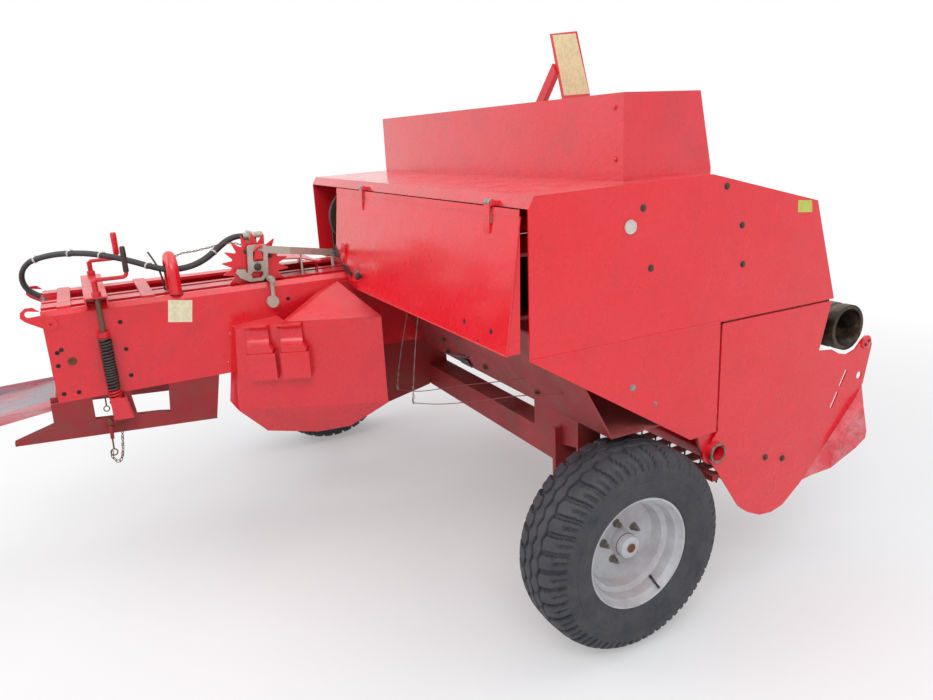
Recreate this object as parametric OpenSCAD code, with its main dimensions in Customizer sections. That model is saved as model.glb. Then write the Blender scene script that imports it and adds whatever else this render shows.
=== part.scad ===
// Square baler, towed, with a side pick-up and a bale channel on its left.
// Millimetres. +Y is the way it travels, +X is its right side, +Z is up.
// Sizes are written from three planes: the right tyre's outer face (x = 0),
// the right wheel's centre (y = 0) and the ground (z = 0). placed() moves the lot so
// that the origin is under the middle of the overall box.

/* [Overall] */
// Width over both tyres
machine_width = 2780; // [2600:5:2900]
// Rear end of the bale chute, measured back from the wheel centres
chute_back = 2150; // [1900:10:2500]
// Front of the towing eye, ahead of the wheel centres
eye_front = 3250; // [3000:10:3500]
// Thickness of the folded sheets
sheet = 6; // [3:1:10]

/* [Wheels] */
// How far the left wheel stands behind the right one
left_wheel_back = 300; // [0:10:340]
// Tyre diameter
tyre_d = 760; // [700:5:820]
// Tyre width
tyre_w = 264; // [220:2:300]
// Rim diameter at the flange
rim_d = 424; // [380:2:450]
// Rim width
rim_w = 228; // [200:2:250]
// Wheel stud circle
stud_pcd = 184; // [160:2:210]
// Number of wheel studs
stud_count = 5; // [4:1:6]

/* [Bale chamber] */
// Outer face of the right wall
chamber_right = -1566; // [-1600:1:-1500]
// Outer face of the left wall
chamber_left = -2126; // [-2200:1:-2050]
// Thickness of a folded wall
wall_t = 35; // [20:1:60]
// Rear end of the chamber
chamber_back = -1706; // [-1800:2:-1600]
// Front end of the chamber
chamber_front = 1250; // [1100:10:1400]
// Underside of the walls
chamber_low = 830; // [800:5:860]
// Top edge of the walls
chamber_top = 1207; // [1180:1:1240]
// Width of the bay where hay enters from the right
feed_bay = 520; // [400:10:600]

/* [Hood] */
// Outer face of the right side sheets
hood_right = -100; // [-120:2:-80]
// Outer face of the left side sheet
hood_left = -2229; // [-2260:1:-2200]
// Height of the line between the upper and lower side sheets
split_z = 1125; // [1100:5:1150]
// Height of the roof ridge
ridge_z = 1633; // [1600:1:1660]
// Place of the roof ridge
ridge_y = 340; // [300:10:380]
// Height of the cover box on the roof
box_h = 254; // [200:2:300]

/* [Rear flap] */
// Left edge of the flap
flap_left = -1777; // [-1800:1:-1740]
// Right edge of the flap
flap_right = -120; // [-140:2:-110]
// Lowest edge of the flap
flap_low = 1147; // [1120:1:1170]

/* [Pick-up] */
// Height of the pick-up hinge tube
hinge_z = 631; // [600:1:660]
// Place of the pick-up hinge tube
hinge_y = 413; // [380:1:450]
// Outside radius of the hinge tube
hinge_r = 38; // [30:1:45]
// Reel centre, ahead of the wheel centres
reel_y = 728; // [680:4:760]
// Reel centre height
reel_z = 540; // [520:5:600]
// Radius to the tine tips
tine_r = 236; // [220:2:250]
// Tines along each bar
tine_count = 14; // [8:1:20]
// Tine bars round the reel
bar_count = 4; // [3:1:6]

/* [Axle and drawbar] */
// Height of the square axle beam's middle
beam_z = 639; // [600:1:680]
// Side of the square axle beam
beam_s = 102; // [80:1:120]
// Drawbar pivot, ahead of the wheel centres
pivot_y = 1420; // [1380:10:1500]
// Height of the drawbar's middle
drawbar_z = 560; // [500:5:620]
// Towing eye hole radius
eye_r = 20.5; // [15:0.5:30]
// Drive shaft stub radius
stub_r = 17.4; // [15:0.1:25]
// Jack leg, ahead of the wheel centres
jack_y = 2560; // [2400:10:2800]

/* [Hidden] */
x_mid = -machine_width / 2;
y_mid = (eye_front - chute_back) / 2;
tyre_rad = tyre_d / 2;
tyre_mid_r = -tyre_w / 2;
tyre_mid_l = -machine_width + tyre_w / 2;
chamber_x = (chamber_right + chamber_left) / 2;
lane_right = chamber_right - wall_t;
lane_left = chamber_left + wall_t;
floor_z = chamber_low + 10;
drum_y = 1125;
drum_z = 985;
drum_r = 92;
star_x = -1643;
star_y = -843;
star_z = chamber_top + 70;
star_r = 148;
star_teeth = 18;
hose_r = 11;
hose_gap = 13;
hose_route = [[-2042, -1716, 1194.6], [-2042, -1737, 1209.8], [-2042, -1755.6, 1228.4],
  [-2042, -1767.5, 1251.8], [-2041, -1771.6, 1277.8], [-2039, -1767.5, 1303.7], [-2036, -1755.6, 1327.1],
  [-2032, -1737, 1345.7], [-2027, -1721.8, 1354.5], [-2012, -1680, 1368], [-1980, -1625, 1378],
  [-1940, -1565, 1381], [-1893, -1505, 1379], [-1846, -1445, 1370], [-1800, -1388, 1357],
  [-1755, -1332, 1340], [-1712, -1278, 1321], [-1676, -1230, 1307], [-1657, -1190, 1302],
  [-1652, -1145, 1303], [-1658, -1098, 1311], [-1668, -1052, 1328], [-1680, -1010, 1352],
  [-1692, -972, 1377], [-1701, -936, 1397], [-1706, -900, 1407], [-1706, -870, 1407]];
hose_in = (hose_route[1] - hose_route[0]) / norm(hose_route[1] - hose_route[0]);
top_edge = 20;
guard_back = [-1506, -1022];
guard_front = [-1220, -426];
guard_low = 666;
guard_high = 1058;
beam_y0 = -1545;
beam_y1 = -1460;
rod_out = 30;
flywheel_z = 1015;
roof_back = [-353, 1617];
roof_ridge = [ridge_y, ridge_z];
roof_front = [862, 1507];
nose = [1000, split_z];
lip = [-374, 1581];
flap_hinge = [-390, 1592];
flap_ears = [-1439, -314];
chute_hinge = [chamber_back - 16, 812];
play = 0.3;
$fn = 48;

function moved(p, q, f) = p + (q - p) * f;
function slope(a, b, y) = a[1] + (b[1] - a[1]) * (y - a[0]) / (b[0] - a[0]);
function roof_z(y) = y < ridge_y ? slope(roof_back, roof_ridge, y) : slope(roof_ridge, roof_front, y);
function along(p, i) = let (d = p[min(i + 1, len(p) - 1)] - p[max(i - 1, 0)]) d / norm(d);
function beside(t) = let (d = [1, 0, 0] - t[0] * t) d / norm(d);
function front_y(z) = roof_front[0] + (nose[0] - roof_front[0]) * (roof_front[1] - z) / (roof_front[1] - nose[1]);

module placed() { translate([-x_mid, -y_mid, 0]) children(); }

// A block between two corners
module block(a, b) { translate(a) cube(b - a); }

// Outline in (y, z), thickness along +X from x
module side_sheet(x, t) { translate([x, 0, 0]) rotate([90, 0, 90]) linear_extrude(t) children(); }

// Outline in (x, z), thickness along -Y from y
module cross_sheet(y, t) { translate([0, y, 0]) rotate([90, 0, 0]) linear_extrude(t) children(); }

// Rods along the three axes
module rod_x(x0, x1, y, z, r) { translate([x0, y, z]) rotate([0, 90, 0]) cylinder(h = x1 - x0, r = r); }
module rod_y(x, y0, y1, z, r) { translate([x, y0, z]) rotate([-90, 0, 0]) cylinder(h = y1 - y0, r = r); }
module rod_z(x, y, z0, z1, r) { translate([x, y, z0]) cylinder(h = z1 - z0, r = r); }

// A straight rod between any two points
module rod(p, q, r) {
  v = q - p;
  translate(p) rotate([0, acos(v[2] / norm(v)), atan2(v[1], v[0])]) cylinder(h = norm(v), r = r);
}

// A sheet sloping from p to q in (y, z), running from x0 to x1, thickened by t to its left
module slope_sheet(x0, x1, p, q, t) {
  n = [p[1] - q[1], q[0] - p[0]] / norm(q - p) * t;
  side_sheet(x0, x1 - x0) polygon([p, q, q + n, p + n]);
}

// A plate given by corners in space, thickened along the first corner's normal
module plate(corners, t) {
  n = len(corners);
  pts = t < 0 ? [for (i = [n - 1:-1:0]) corners[i]] : corners;
  c = cross(pts[1] - pts[0], pts[2] - pts[0]);
  up = c / norm(c) * abs(t);
  polyhedron(
    points = concat(pts, [for (p = pts) p + up]),
    faces = concat([for (i = [1:n - 2]) [0, i, i + 1]], [for (i = [1:n - 2]) [n, n + i + 1, n + i]],
      [for (i = [0:n - 1]) [i, i + n, (i + 1) % n + n, (i + 1) % n]]));
}

// A round tube through the points of a route, moved to one side of it
module tube(route, shift, r, n) {
  m = len(route);
  pts = [for (i = [0:m - 1]) let (t = along(route, i), u = beside(t), v = cross(t, u))
    for (k = [0:n - 1]) route[i] + shift * u + r * (cos(k * 360 / n) * u + sin(k * 360 / n) * v)];
  last = (m - 1) * n;
  polyhedron(points = pts, faces = concat(
    [for (k = [1:n - 2]) [0, k, k + 1]], [for (k = [1:n - 2]) [last, last + k + 1, last + k]],
    [for (i = [0:m - 2]) for (k = [0:n - 1]) [i * n + k, (i + 1) * n + k, (i + 1) * n + (k + 1) % n]],
    [for (i = [0:m - 2]) for (k = [0:n - 1]) [i * n + k, (i + 1) * n + (k + 1) % n, i * n + (k + 1) % n]]));
}

// One wall of the chamber: an outer sheet and a liner joined by top and bottom folds
module chamber_wall(outer, inner_dir, bay) {
  translate([outer, chamber_front, 0]) rotate([90, 0, 0]) difference() {
    linear_extrude(chamber_front - chamber_back) scale([inner_dir, 1]) difference() {
      polygon([[0, chamber_low], [wall_t, chamber_low], [wall_t, chamber_top], [top_edge, chamber_top],
        [0, chamber_top - top_edge]]);
      polygon([[sheet, chamber_low + sheet], [wall_t - sheet, chamber_low + sheet],
        [wall_t - sheet, chamber_top - sheet], [top_edge + 3, chamber_top - sheet], [sheet, chamber_top - top_edge - 3]]);
    }
    if (bay) translate([inner_dir * wall_t - 10, floor_z + 10, chamber_front - 60 - feed_bay])
      cube([wall_t + 20, chamber_top - 50 - floor_z, feed_bay]);
  }
}

module chamber_right_wall() {
  color([0.86, 0.1, 0.14]) placed() chamber_wall(chamber_right, -1, true);
}

module chamber_left_wall() {
  color([0.86, 0.1, 0.14]) placed() chamber_wall(chamber_left, 1, false);
}

module chamber_floor() {
  color([0.7, 0.1, 0.13]) placed() {
    block([lane_left, chamber_back, chamber_low], [lane_right, chamber_front, floor_z]);
    for (y = [-1640, -1180, 560])
      block([chamber_left + 45, y, chamber_low - 45], [chamber_right - 45, y + 50, chamber_low]);
    for (x = [lane_left - 14, lane_right + 2]) difference() {
      block([x, chamber_back - 30, chamber_low - 36], [x + 12, chamber_back, chamber_low + 20]);
      rod_x(x - 1, x + 13, chute_hinge[0], chute_hinge[1], 8 + play);
    }
  }
}

module chamber_top_rails() {
  color([0.86, 0.1, 0.14]) placed() {
    for (r = [[-2091, -2025], [-1825, -1790], [-1752, -1659]])
      block([r[0], chamber_back, chamber_top - 14], [r[1], -380, chamber_top]);
    for (y = [chamber_back + 60, -1330])
      block([lane_left, y, chamber_top], [lane_right, y + 50, chamber_top + 8]);
    block([lane_left, -380, chamber_top - 14], [lane_right, chamber_front, chamber_top]);
    block([-2074, chamber_back + 12, 1150], [-2010, chamber_back + 60, chamber_top - 12]);
    for (s = [-hose_gap, hose_gap])
      rod(hose_route[0] + [s, 0, 0], hose_route[0] + [s, 0, 0] - 52 * hose_in, hose_r + 1.5);
  }
}

module hook_outline() {
  difference() {
    union() {
      translate([-1676, 1157]) circle(r = 25);
      polygon([[-1662, 1178], [-1700, 1206], [-1727, 1231], [-1754, 1231], [-1772, 1216], [-1775, 1196],
        [-1762, 1180], [-1744, 1168], [-1708, 1146], [-1684, 1134]]);
    }
    translate([-1745, 1206]) circle(r = 13);
    polygon([[-1745, 1219], [-1700, 1211], [-1700, 1196], [-1745, 1193]]);
    translate([-1676, 1157]) circle(r = 6);
  }
}

module tension_frame() {
  color([0.84, 0.12, 0.16]) placed() {
    difference() {
      block([chamber_left - 48, beam_y0, chamber_top], [chamber_right + 48, beam_y1, chamber_top + 40]);
      block([chamber_left - 49, beam_y0 + 6, chamber_top - 1], [chamber_right + 49, beam_y1 - 6, chamber_top + 34]);
      for (x = [chamber_right + rod_out, chamber_left - rod_out])
        rod_z(x, -1498, chamber_top + 30, chamber_top + 41, 13);
    }
    side_sheet(chamber_right, 10) hook_outline();
    side_sheet(chamber_left - 10, 10) hook_outline();
  }
}

module tension_rods() {
  turns = 15;
  low = 806;
  high = 1076;
  pitch = (high - low) / turns;
  color([0.2, 0.2, 0.22]) placed() for (x = [chamber_right + rod_out, chamber_left - rod_out]) {
    rod_z(x, -1498, 742, 1326, 11);
    translate([x, -1498, 0]) rotate_extrude() polygon(concat([[0, low]],
      [for (i = [0:turns - 1]) for (q = [[21, 3], [27, 6], [27, 12], [21, 15]]) [q[0], low + i * pitch + q[1]]],
      [[0, high]]));
    rod_z(x, -1498, high - 2, 1100, 22);
    rod_z(x, -1498, chamber_top + 40, chamber_top + 60, 18);
    rod_y(x, -1498, -1376, 1312, 8);
    rod_z(x, -1376, 1298, 1436, 12);
  }
}

module tension_rail() {
  color([0.62, 0.09, 0.12]) placed() {
    for (x = [chamber_right - 38, chamber_left]) {
      side_sheet(x, 38) polygon([[-1886, 698], [-1739, 742], [-1586, 732], [-1338, 710], [-1110, 668], [-1110, 632], [-1886, 684]]);
      side_sheet(x == chamber_left ? x : x + 22, 16)
        polygon([[-1736, chamber_low], [-1585, chamber_low], [-1586, 722], [-1739, 736]]);
      side_sheet(x == chamber_left ? x : x + 28, 10)
        polygon([[-1507, chamber_low], [-1440, chamber_low], [-1424, 700], [-1510, 706]]);
      side_sheet(x == chamber_left ? x : x + 28, 10)
        polygon([[-1287, chamber_low], [-1076, chamber_low], [-1110, 640], [-1300, 690]]);
    }
    block([chamber_left - 48, -1520, 722], [chamber_right + 48, -1440, 742]);
  }
}

module hose_bow() {
  bend = 65;
  x = chamber_right - 26;
  top = 1291;
  color([0.86, 0.12, 0.16]) placed() {
    rod_z(x, -1196, chamber_top, top, 25);
    rod_z(x - 2 * bend, -1196, chamber_top, top, 25);
    translate([x - bend, -1196, top]) rotate([90, 0, 0]) rotate_extrude(angle = 180) translate([bend, 0]) circle(r = 25);
  }
}

module hose_a() { color([0.06, 0.06, 0.06]) placed() tube(hose_route, hose_gap, hose_r, 10); }
module hose_b() { color([0.06, 0.06, 0.06]) placed() tube(hose_route, -hose_gap, hose_r, 10); }

module knotter_stack() {
  color([0.25, 0.16, 0.15]) placed() {
    block([lane_left, -330, chamber_top], [lane_right, -290, chamber_top + 60]);
    rod_x(lane_left - 20, lane_right + 20, -230, 1420, 18);
    for (x = [lane_left - 20, lane_right + 8])
      block([x, -330, chamber_top], [x + 12, -120, 1450]);
    for (x = [lane_left + 110, lane_right - 160]) {
      rod_x(x, x + 26, -230, 1420, 150);
      block([x + 30, -300, chamber_top + 20], [x + 80, -200, 1400]);
    }
  }
}

module knotter_cover() {
  color([0.82, 0.1, 0.14]) placed() {
    side_sheet(-2060, 388) polygon([[-805, chamber_top], [-786, 1282], [-721, 1291], [-622, 1284], [-535, 1256],
      [-537, 1251], [-623, 1279], [-721, 1286], [-782, 1278], [-800, chamber_top]]);
    for (x = [-2060, -1750]) block([x, -545, chamber_top], [x + 40, -540, 1253]);
  }
}

module trip_linkage() {
  color([0.66, 0.67, 0.62]) placed() {
    side_sheet(-1622, 10) difference() {
      polygon([[-876, 1365], [-868, 1374], [-797, 1374], [-787, 1358], [-798, 1231], [-825, 1213], [-879, 1212],
        [-921, 1235], [-938, 1260], [-932, 1275], [-896, 1271], [-890, 1250], [-884, 1262]]);
      polygon([[-853, 1346], [-808, 1343], [-820, 1238], [-830, 1226], [-868, 1227], [-873, 1245], [-860, 1262]]);
    }
    side_sheet(-1622, 10) polygon([[-868, 1258], [-858, 1300], [-808, 1300], [-812, 1252]]);
    rod_x(-1700, -1604, star_y, star_z, 12);
    block([-1712, star_y - 30, chamber_top], [-1700, star_y + 30, 1400]);
    block([-1738, star_y - 6, 1386], [-1674, star_y + 6, 1427]);
    for (s = [-hose_gap, hose_gap])
      rod_y(hose_route[26][0] + s, hose_route[26][1], -785, hose_route[26][2], hose_r + 1.5);
    side_sheet(-1622, 8) polygon([[-812, 1335], [-688, 1315], [-688, 1347], [-812, 1367]]);
    plate([[-1618, -692, 1316], [-1806, -440, 1258], [-1806, -440, 1290], [-1618, -692, 1348]], 8);
    rod_z(-1806, -436, chamber_top, 1270, 8);
    rod_z(-1664, -629, chamber_top, 1306, 5);
    rod_z(chamber_right + 12, -800, 1120, 1222, 9);
    rod_x(chamber_right, chamber_right + 26, -806, 1124, 26);
    rod_x(chamber_right - 24, chamber_right + 24, -800, 1222, 14);
  }
}

module needle_guard() {
  along = atan2(guard_front[1] - guard_back[1], guard_front[0] - guard_back[0]);
  length = norm(guard_front - guard_back);
  wall = chamber_right + 0.3;
  a = concat(moved(guard_back, guard_front, 0.38), [guard_high]);
  b = concat(guard_front, [guard_high]);
  rear = concat(moved(guard_back, guard_front, 0.05), [guard_high - 18]);
  color([0.85, 0.1, 0.14]) placed() {
    translate([guard_back[0], guard_back[1], 0]) rotate([0, 0, along]) {
      cross_sheet(sheet, sheet) polygon([[0, guard_low], [length, guard_low], [length, guard_high],
        [0.38 * length, guard_high], [0.05 * length, guard_high - 18]]);
      translate([0, 0, guard_low - 0.3]) rotate([31, 0, 0]) cross_sheet(sheet, sheet)
        polygon([[0, 0], [94, -155], [320, -184], [474, -154], [578, -70], [length, 0]]);
    }
    plate([[wall, -1046, 700], [guard_back[0], guard_back[1] - 0.3, guard_low],
      rear - [0.3, 0.3, 0], [wall, rear[1] - 0.3, rear[2]]], -sheet);
    plate([rear + [-7, 3, 0], a + [-7, 3, 0], [wall, a[1], guard_high], [wall, rear[1], rear[2]]], -sheet);
    plate([a + [-6, 5, 0.3], b + [-6, 5, 0.3], [wall + 2, -500, 1175]], -sheet);
    plate([a + [-6, 5, 0.3], [wall + 2, -500, 1175], [wall + 0.4, -590, 1140], a + [-48, 5, 0.3]], -sheet);
    for (y = [-900, -520]) let (p = moved(guard_back, guard_front, (y - guard_back[1]) / (guard_front[1] - guard_back[1])))
      block([chamber_right, y, 720], [p[0] - 3, y + sheet, 1000]);
  }
}

module wheel_chocks() {
  along = atan2(guard_front[1] - guard_back[1], guard_front[0] - guard_back[0]);
  rim = 936;
  foot = 818;
  color([0.9, 0.12, 0.16]) placed() translate([guard_back[0], guard_back[1], 0]) rotate([0, 0, along])
    for (x = [78, 222]) {
      difference() {
        block([x, -54, foot], [x + 122, 0, rim]);
        block([x + 4, -50, foot + 8], [x + 118, -4, rim + 1]);
      }
      difference() {
        translate([x, -48, 0]) rotate([90, 0, 0]) mirror([0, 0, 1]) linear_extrude(40)
          polygon([[8, foot + 8], [112, foot + 8], [112, rim + 14], [98, rim + 34], [96, 1057], [-2, 1057], [6, rim + 34]]);
        rod_x(x - 10, x + 130, -72, 1010, 48);
      }
    }
}

module feed_trough() {
  color([0.5, 0.07, 0.1]) placed() {
    x0 = chamber_right;
    x1 = hood_right - sheet;
    block([x0, -64, 794], [x1, 400, 800]);
    slope_sheet(x0, x1, [-64, 794], [-262, 1150], -sheet);
    block([x0, -262, 1150], [x1, -200, 1158]);
    for (x = [x0, -900, x1 - 40])
      block([x, -262, 1158], [x + 40, -200, 1560]);
    side_sheet(x0, x1 - x0) polygon([[-262, 1560], [-200, 1560], [-200, roof_z(-200) - sheet - play], [-262, roof_z(-262) - sheet - play]]);
    block([x0, 380, 740], [x1, 400, 794]);
    block([x0 - wall_t, 40, 794], [x0, 600, chamber_low]);
  }
}

module roof_outline(t) {
  polygon([lip, roof_back, roof_ridge, roof_front, roof_front - [0, t], roof_ridge - [0, t],
    roof_back + [t, -t], lip + [t, 0]]);
}

module hood_roof() {
  color([0.88, 0.1, 0.16]) placed() {
    side_sheet(hood_left + sheet, hood_right - hood_left - 2 * sheet) roof_outline(sheet);
    for (x = flap_ears) {
      for (s = [-8.5, 36.5])
        side_sheet(x + s, 8) polygon([moved(lip, roof_back, 0.05), moved(lip, roof_back, 0.45), flap_hinge + [-8, 8], flap_hinge + [-8, -8]]);
      rod_x(x - 8.5, x + 44.5, flap_hinge[0], flap_hinge[1], 5);
    }
  }
}

module hood_side_upper() {
  color([0.92, 0.12, 0.18]) placed() side_sheet(hood_right - sheet, sheet)
    polygon([[-380, split_z], lip, roof_back, roof_ridge, roof_front, nose]);
}

module hood_side_lower() {
  color([0.92, 0.12, 0.18]) placed() side_sheet(hood_right - sheet, sheet)
    polygon([[-380, split_z], [407, split_z], [411, 712], [285, 710]]);
}

module hood_left_side() {
  color([0.85, 0.1, 0.15]) placed() {
    side_sheet(hood_left, sheet)
      polygon([[lip[0], chamber_top], lip, roof_back, roof_ridge, roof_front, [front_y(chamber_top), chamber_top]]);
    block([hood_left + sheet, lip[0], chamber_top], [chamber_left + 12, 940, chamber_top + sheet]);
  }
}

module hood_front() {
  color([0.85, 0.1, 0.15]) placed() {
    side_sheet(hood_left + sheet, chamber_right - hood_left - sheet)
      polygon([roof_front, roof_front - [0, 18], [front_y(chamber_top) - 6.5, chamber_top], [front_y(chamber_top), chamber_top]]);
    side_sheet(chamber_right, hood_right - sheet - chamber_right) polygon([roof_front, roof_front - [0, 18],
      [nose[0] - 6.5 - 2.2, split_z + 6], [930, split_z + 6], [930, split_z], nose]);
  }
}

module cover_box() {
  x0 = hood_left - 11;
  x1 = hood_right - 107;
  top = 1645 + box_h;
  color([0.88, 0.1, 0.15]) placed() difference() {
    side_sheet(x0, x1 - x0) polygon([[56, 1600], [437, 1600], [437, 1645], [377, top], [56, top]]);
    side_sheet(x0 + sheet, x1 - x0 - 2 * sheet)
      polygon([[56 + sheet, 1590], [437 - sheet, 1590], [437 - sheet, 1645], [377 - sheet, top - sheet], [56 + sheet, top - sheet]]);
    side_sheet(x0 - 1, x1 - x0 + 2)
      polygon([[0, 1500], [500, 1500], [500, roof_z(500)], roof_ridge, [0, roof_z(0)]]);
  }
}

module guard_post() {
  color([0.9, 0.12, 0.18]) placed() {
    for (x = [[-1204, -986], [-1850, -1770]]) side_sheet(x[0], x[1] - x[0])
      polygon([[560, roof_z(560)], [640, roof_z(640)], [640, 1580], [560, 1580]]);
    cross_sheet(604, 8) polygon([[-1204, 1580], [-986, 1580], [-1203, 2215], [-1409, 2230]]);
    cross_sheet(614, 28) polygon([[-1850, 1580], [-1770, 1580], [-1352, 2056], [-1376, 2096]]);
  }
}

module axle() {
  color([0.8, 0.1, 0.13]) placed() {
    top = beam_z + beam_s / 2;
    low = beam_z - beam_s / 2;
    back = -left_wheel_back;
    arm = chamber_left - 74;
    block([chamber_left - 34, -60, low], [hood_right - 300, beam_s - 60, top]);
    block([arm, back - 60, low], [arm + beam_s, beam_s - 60, top]);
    for (x = [lane_right, lane_left - 30])
      block([x, -50, top], [x + 30, 40, chamber_low]);
    for (p = [[hood_right - 320, 0], [arm - 20, back]])
      side_sheet(p[0], 20) translate([p[1], 0])
        polygon([[-90, 740], [70, 740], [70, 420], [45, 320], [-45, 320], [-90, 420]]);
    rod_x(hood_right - 320, tyre_mid_r + 48, 0, tyre_rad, 38);
    rod_x(tyre_mid_l - 48, tyre_mid_l + 160, back, tyre_rad, 38);
    block([tyre_mid_l + 150, back - 45, tyre_rad - 45], [arm, back + 45, tyre_rad + 45]);
    cross_sheet(-48, 12) polygon([[-586, top - 60], [-300, top], [-300, 794], [-586, 794]]);
    side_sheet(-586, 12) polygon([[-60, top], [40, top], [40, 794], [-60, 794]]);
    side_sheet(-312, 12) polygon([[-60, top - 20], [40, top], [40, 794], [-60, 794]]);
    side_sheet(chamber_right - 12, 12) polygon([[-420, chamber_low - play], [-420, 566], [-293, 535], [-64, 584],
      [-64, 610], [-40, 610], [-40, 680], [39.5, 680], [39.5, chamber_low - play]]);
  }
}

module gearbox() {
  color([0.35, 0.35, 0.37]) placed() difference() {
    union() {
      block([chamber_x - 150, 1000, floor_z], [chamber_x + 150, 1240, chamber_top - 20]);
      rod_y(chamber_x, 1240, 1372, flywheel_z, 60);
      block([lane_left + 8, 640, floor_z], [lane_right - 8, 690, chamber_top - 20]);
      for (x = [lane_left + 60, lane_right - 100])
        block([x, 690, floor_z], [x + 40, 900, floor_z + 160]);
      block([chamber_x - 30, 690, flywheel_z - 40], [chamber_x + 30, 1000, flywheel_z + 40]);
    }
    rod_y(chamber_x, 1250, 1380, flywheel_z, stub_r + 7.6 + play);
  }
}

module flywheel() {
  color([0.2, 0.2, 0.22]) placed() difference() {
    union() {
      rod_y(chamber_x, 1400, 1470, flywheel_z, 250);
      rod_y(chamber_x, 1380, 1490, flywheel_z, 60);
      rod_y(chamber_x, 1260, 1400, flywheel_z, stub_r + 7.6);
      rod_y(chamber_x, 1490, 1610, flywheel_z, stub_r);
    }
    translate([chamber_x, 1440, flywheel_z]) rotate([-90, 0, 0]) difference() {
      cylinder(h = 60, r = 200);
      translate([0, 0, -1]) cylinder(h = 62, r = 60);
    }
  }
}

module front_frame() {
  color([0.82, 0.1, 0.14]) placed() {
    for (x = [lane_left, lane_right - 60])
      block([x, 1080, drawbar_z - 60], [x + 60, 1250, chamber_low]);
    block([chamber_left, 1250, drawbar_z - 90], [chamber_right, 1290, chamber_low]);
    for (z = [drawbar_z - 70.5, drawbar_z + 50.5]) {
      block([chamber_x - 90, 1290, z], [chamber_x + 90, pivot_y, z + 20]);
      rod_z(chamber_x, pivot_y, z, z + 20, 90);
    }
    rod_z(chamber_x, pivot_y, drawbar_z - 100, drawbar_z + 100, 24);
  }
}

module drawbar() {
  leg_x = chamber_x + 116;
  color([0.84, 0.1, 0.14]) placed() {
    difference() {
      union() {
        rod_z(chamber_x, pivot_y, drawbar_z - 50, drawbar_z + 50, 70);
        block([chamber_x - 60, pivot_y + 40, drawbar_z - 50], [chamber_x + 60, eye_front - 250, drawbar_z + 50]);
        block([chamber_x - 45, eye_front - 260, drawbar_z - 15], [chamber_x + 45, eye_front - 60, drawbar_z + 15]);
        rod_z(chamber_x, eye_front - 60, drawbar_z - 15, drawbar_z + 15, 60);
        block([chamber_x + 60, jack_y - 40, drawbar_z - 60], [chamber_x + 74, jack_y + 40, drawbar_z + 60]);
      }
      rod_z(chamber_x, pivot_y, drawbar_z - 60, drawbar_z + 60, 24 + play);
      rod_z(chamber_x, eye_front - 60, drawbar_z - 20, drawbar_z + 20, eye_r);
    }
    rod_x(chamber_x + 74, leg_x + 36, jack_y, drawbar_z, 12);
  }
}

module jack() {
  leg_x = chamber_x + 116;
  color([0.5, 0.5, 0.52]) placed() difference() {
    union() {
      rod_x(chamber_x + 74.5, leg_x, jack_y, drawbar_z, 40);
      block([leg_x - 30, jack_y - 30, 20], [leg_x + 30, jack_y + 30, drawbar_z + 160]);
      block([leg_x - 48, jack_y - 80, 0], [leg_x + 75, jack_y + 80, 20]);
    }
    rod_x(chamber_x + 70, leg_x + 40, jack_y, drawbar_z, 12 + play);
  }
}

module drum_shaft() {
  color([0.3, 0.28, 0.28]) placed() {
    rod_x(chamber_right, -330, drum_y, drum_z, 20);
    block([-420, 940, drum_z - 40], [-400, drum_y + 40, drum_z + 40]);
    block([-420, 940, drum_z - 40], [-400, 990, split_z]);
  }
}

module drive_drum() {
  color([0.16, 0.14, 0.14]) placed() translate([-360, drum_y, drum_z]) rotate([0, 90, 0]) rotate_extrude()
    polygon([[20.3, 0], [60, 0], [60, 20], [92, 20], [92, 60], [86, 66], [86, 84], [92, 90], [92, 120],
      [86, 126], [86, 144], [92, 150], [92, 180], [86, 186], [86, 204], [92, 210], [92, 244], [76, 244],
      [76, 40], [20.3, 40]]);
}

module pickup_hangers() {
  color([0.75, 0.1, 0.13]) placed() for (x = [-126, -1500]) difference() {
    union() {
      side_sheet(x, 14) polygon([[300, 794], [374, 794], [374, 735], [440, 690], [458, 650], [458, 610], [380, 600], [340, 680]]);
      rod_x(x, x + 14, hinge_y, hinge_z, 52);
    }
    rod_x(x - 1, x + 15, hinge_y, hinge_z, hinge_r + play);
  }
}

module tyre_shape() {
  rotate([0, 90, 0]) rotate_extrude() polygon([[rim_d / 2 - 12, -rim_w / 2 + 12], [rim_d / 2 + 14, -rim_w / 2],
    [tyre_rad - 108, -tyre_w / 2], [tyre_rad - 60, -tyre_w / 2 + 6], [tyre_rad - 22, -tyre_w / 2 + 30],
    [tyre_rad - 8, -72], [tyre_rad - 2, -46], [tyre_rad - 12, -43], [tyre_rad - 12, -36], [tyre_rad - 1, -33],
    [tyre_rad, -7], [tyre_rad - 11, -4], [tyre_rad - 11, 4], [tyre_rad, 7], [tyre_rad - 1, 33],
    [tyre_rad - 12, 36], [tyre_rad - 12, 43], [tyre_rad - 2, 46], [tyre_rad - 8, 72], [tyre_rad - 22, tyre_w / 2 - 30],
    [tyre_rad - 60, tyre_w / 2 - 6], [tyre_rad - 108, tyre_w / 2], [rim_d / 2 + 14, rim_w / 2],
    [rim_d / 2 - 12, rim_w / 2 - 12]]);
}

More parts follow.
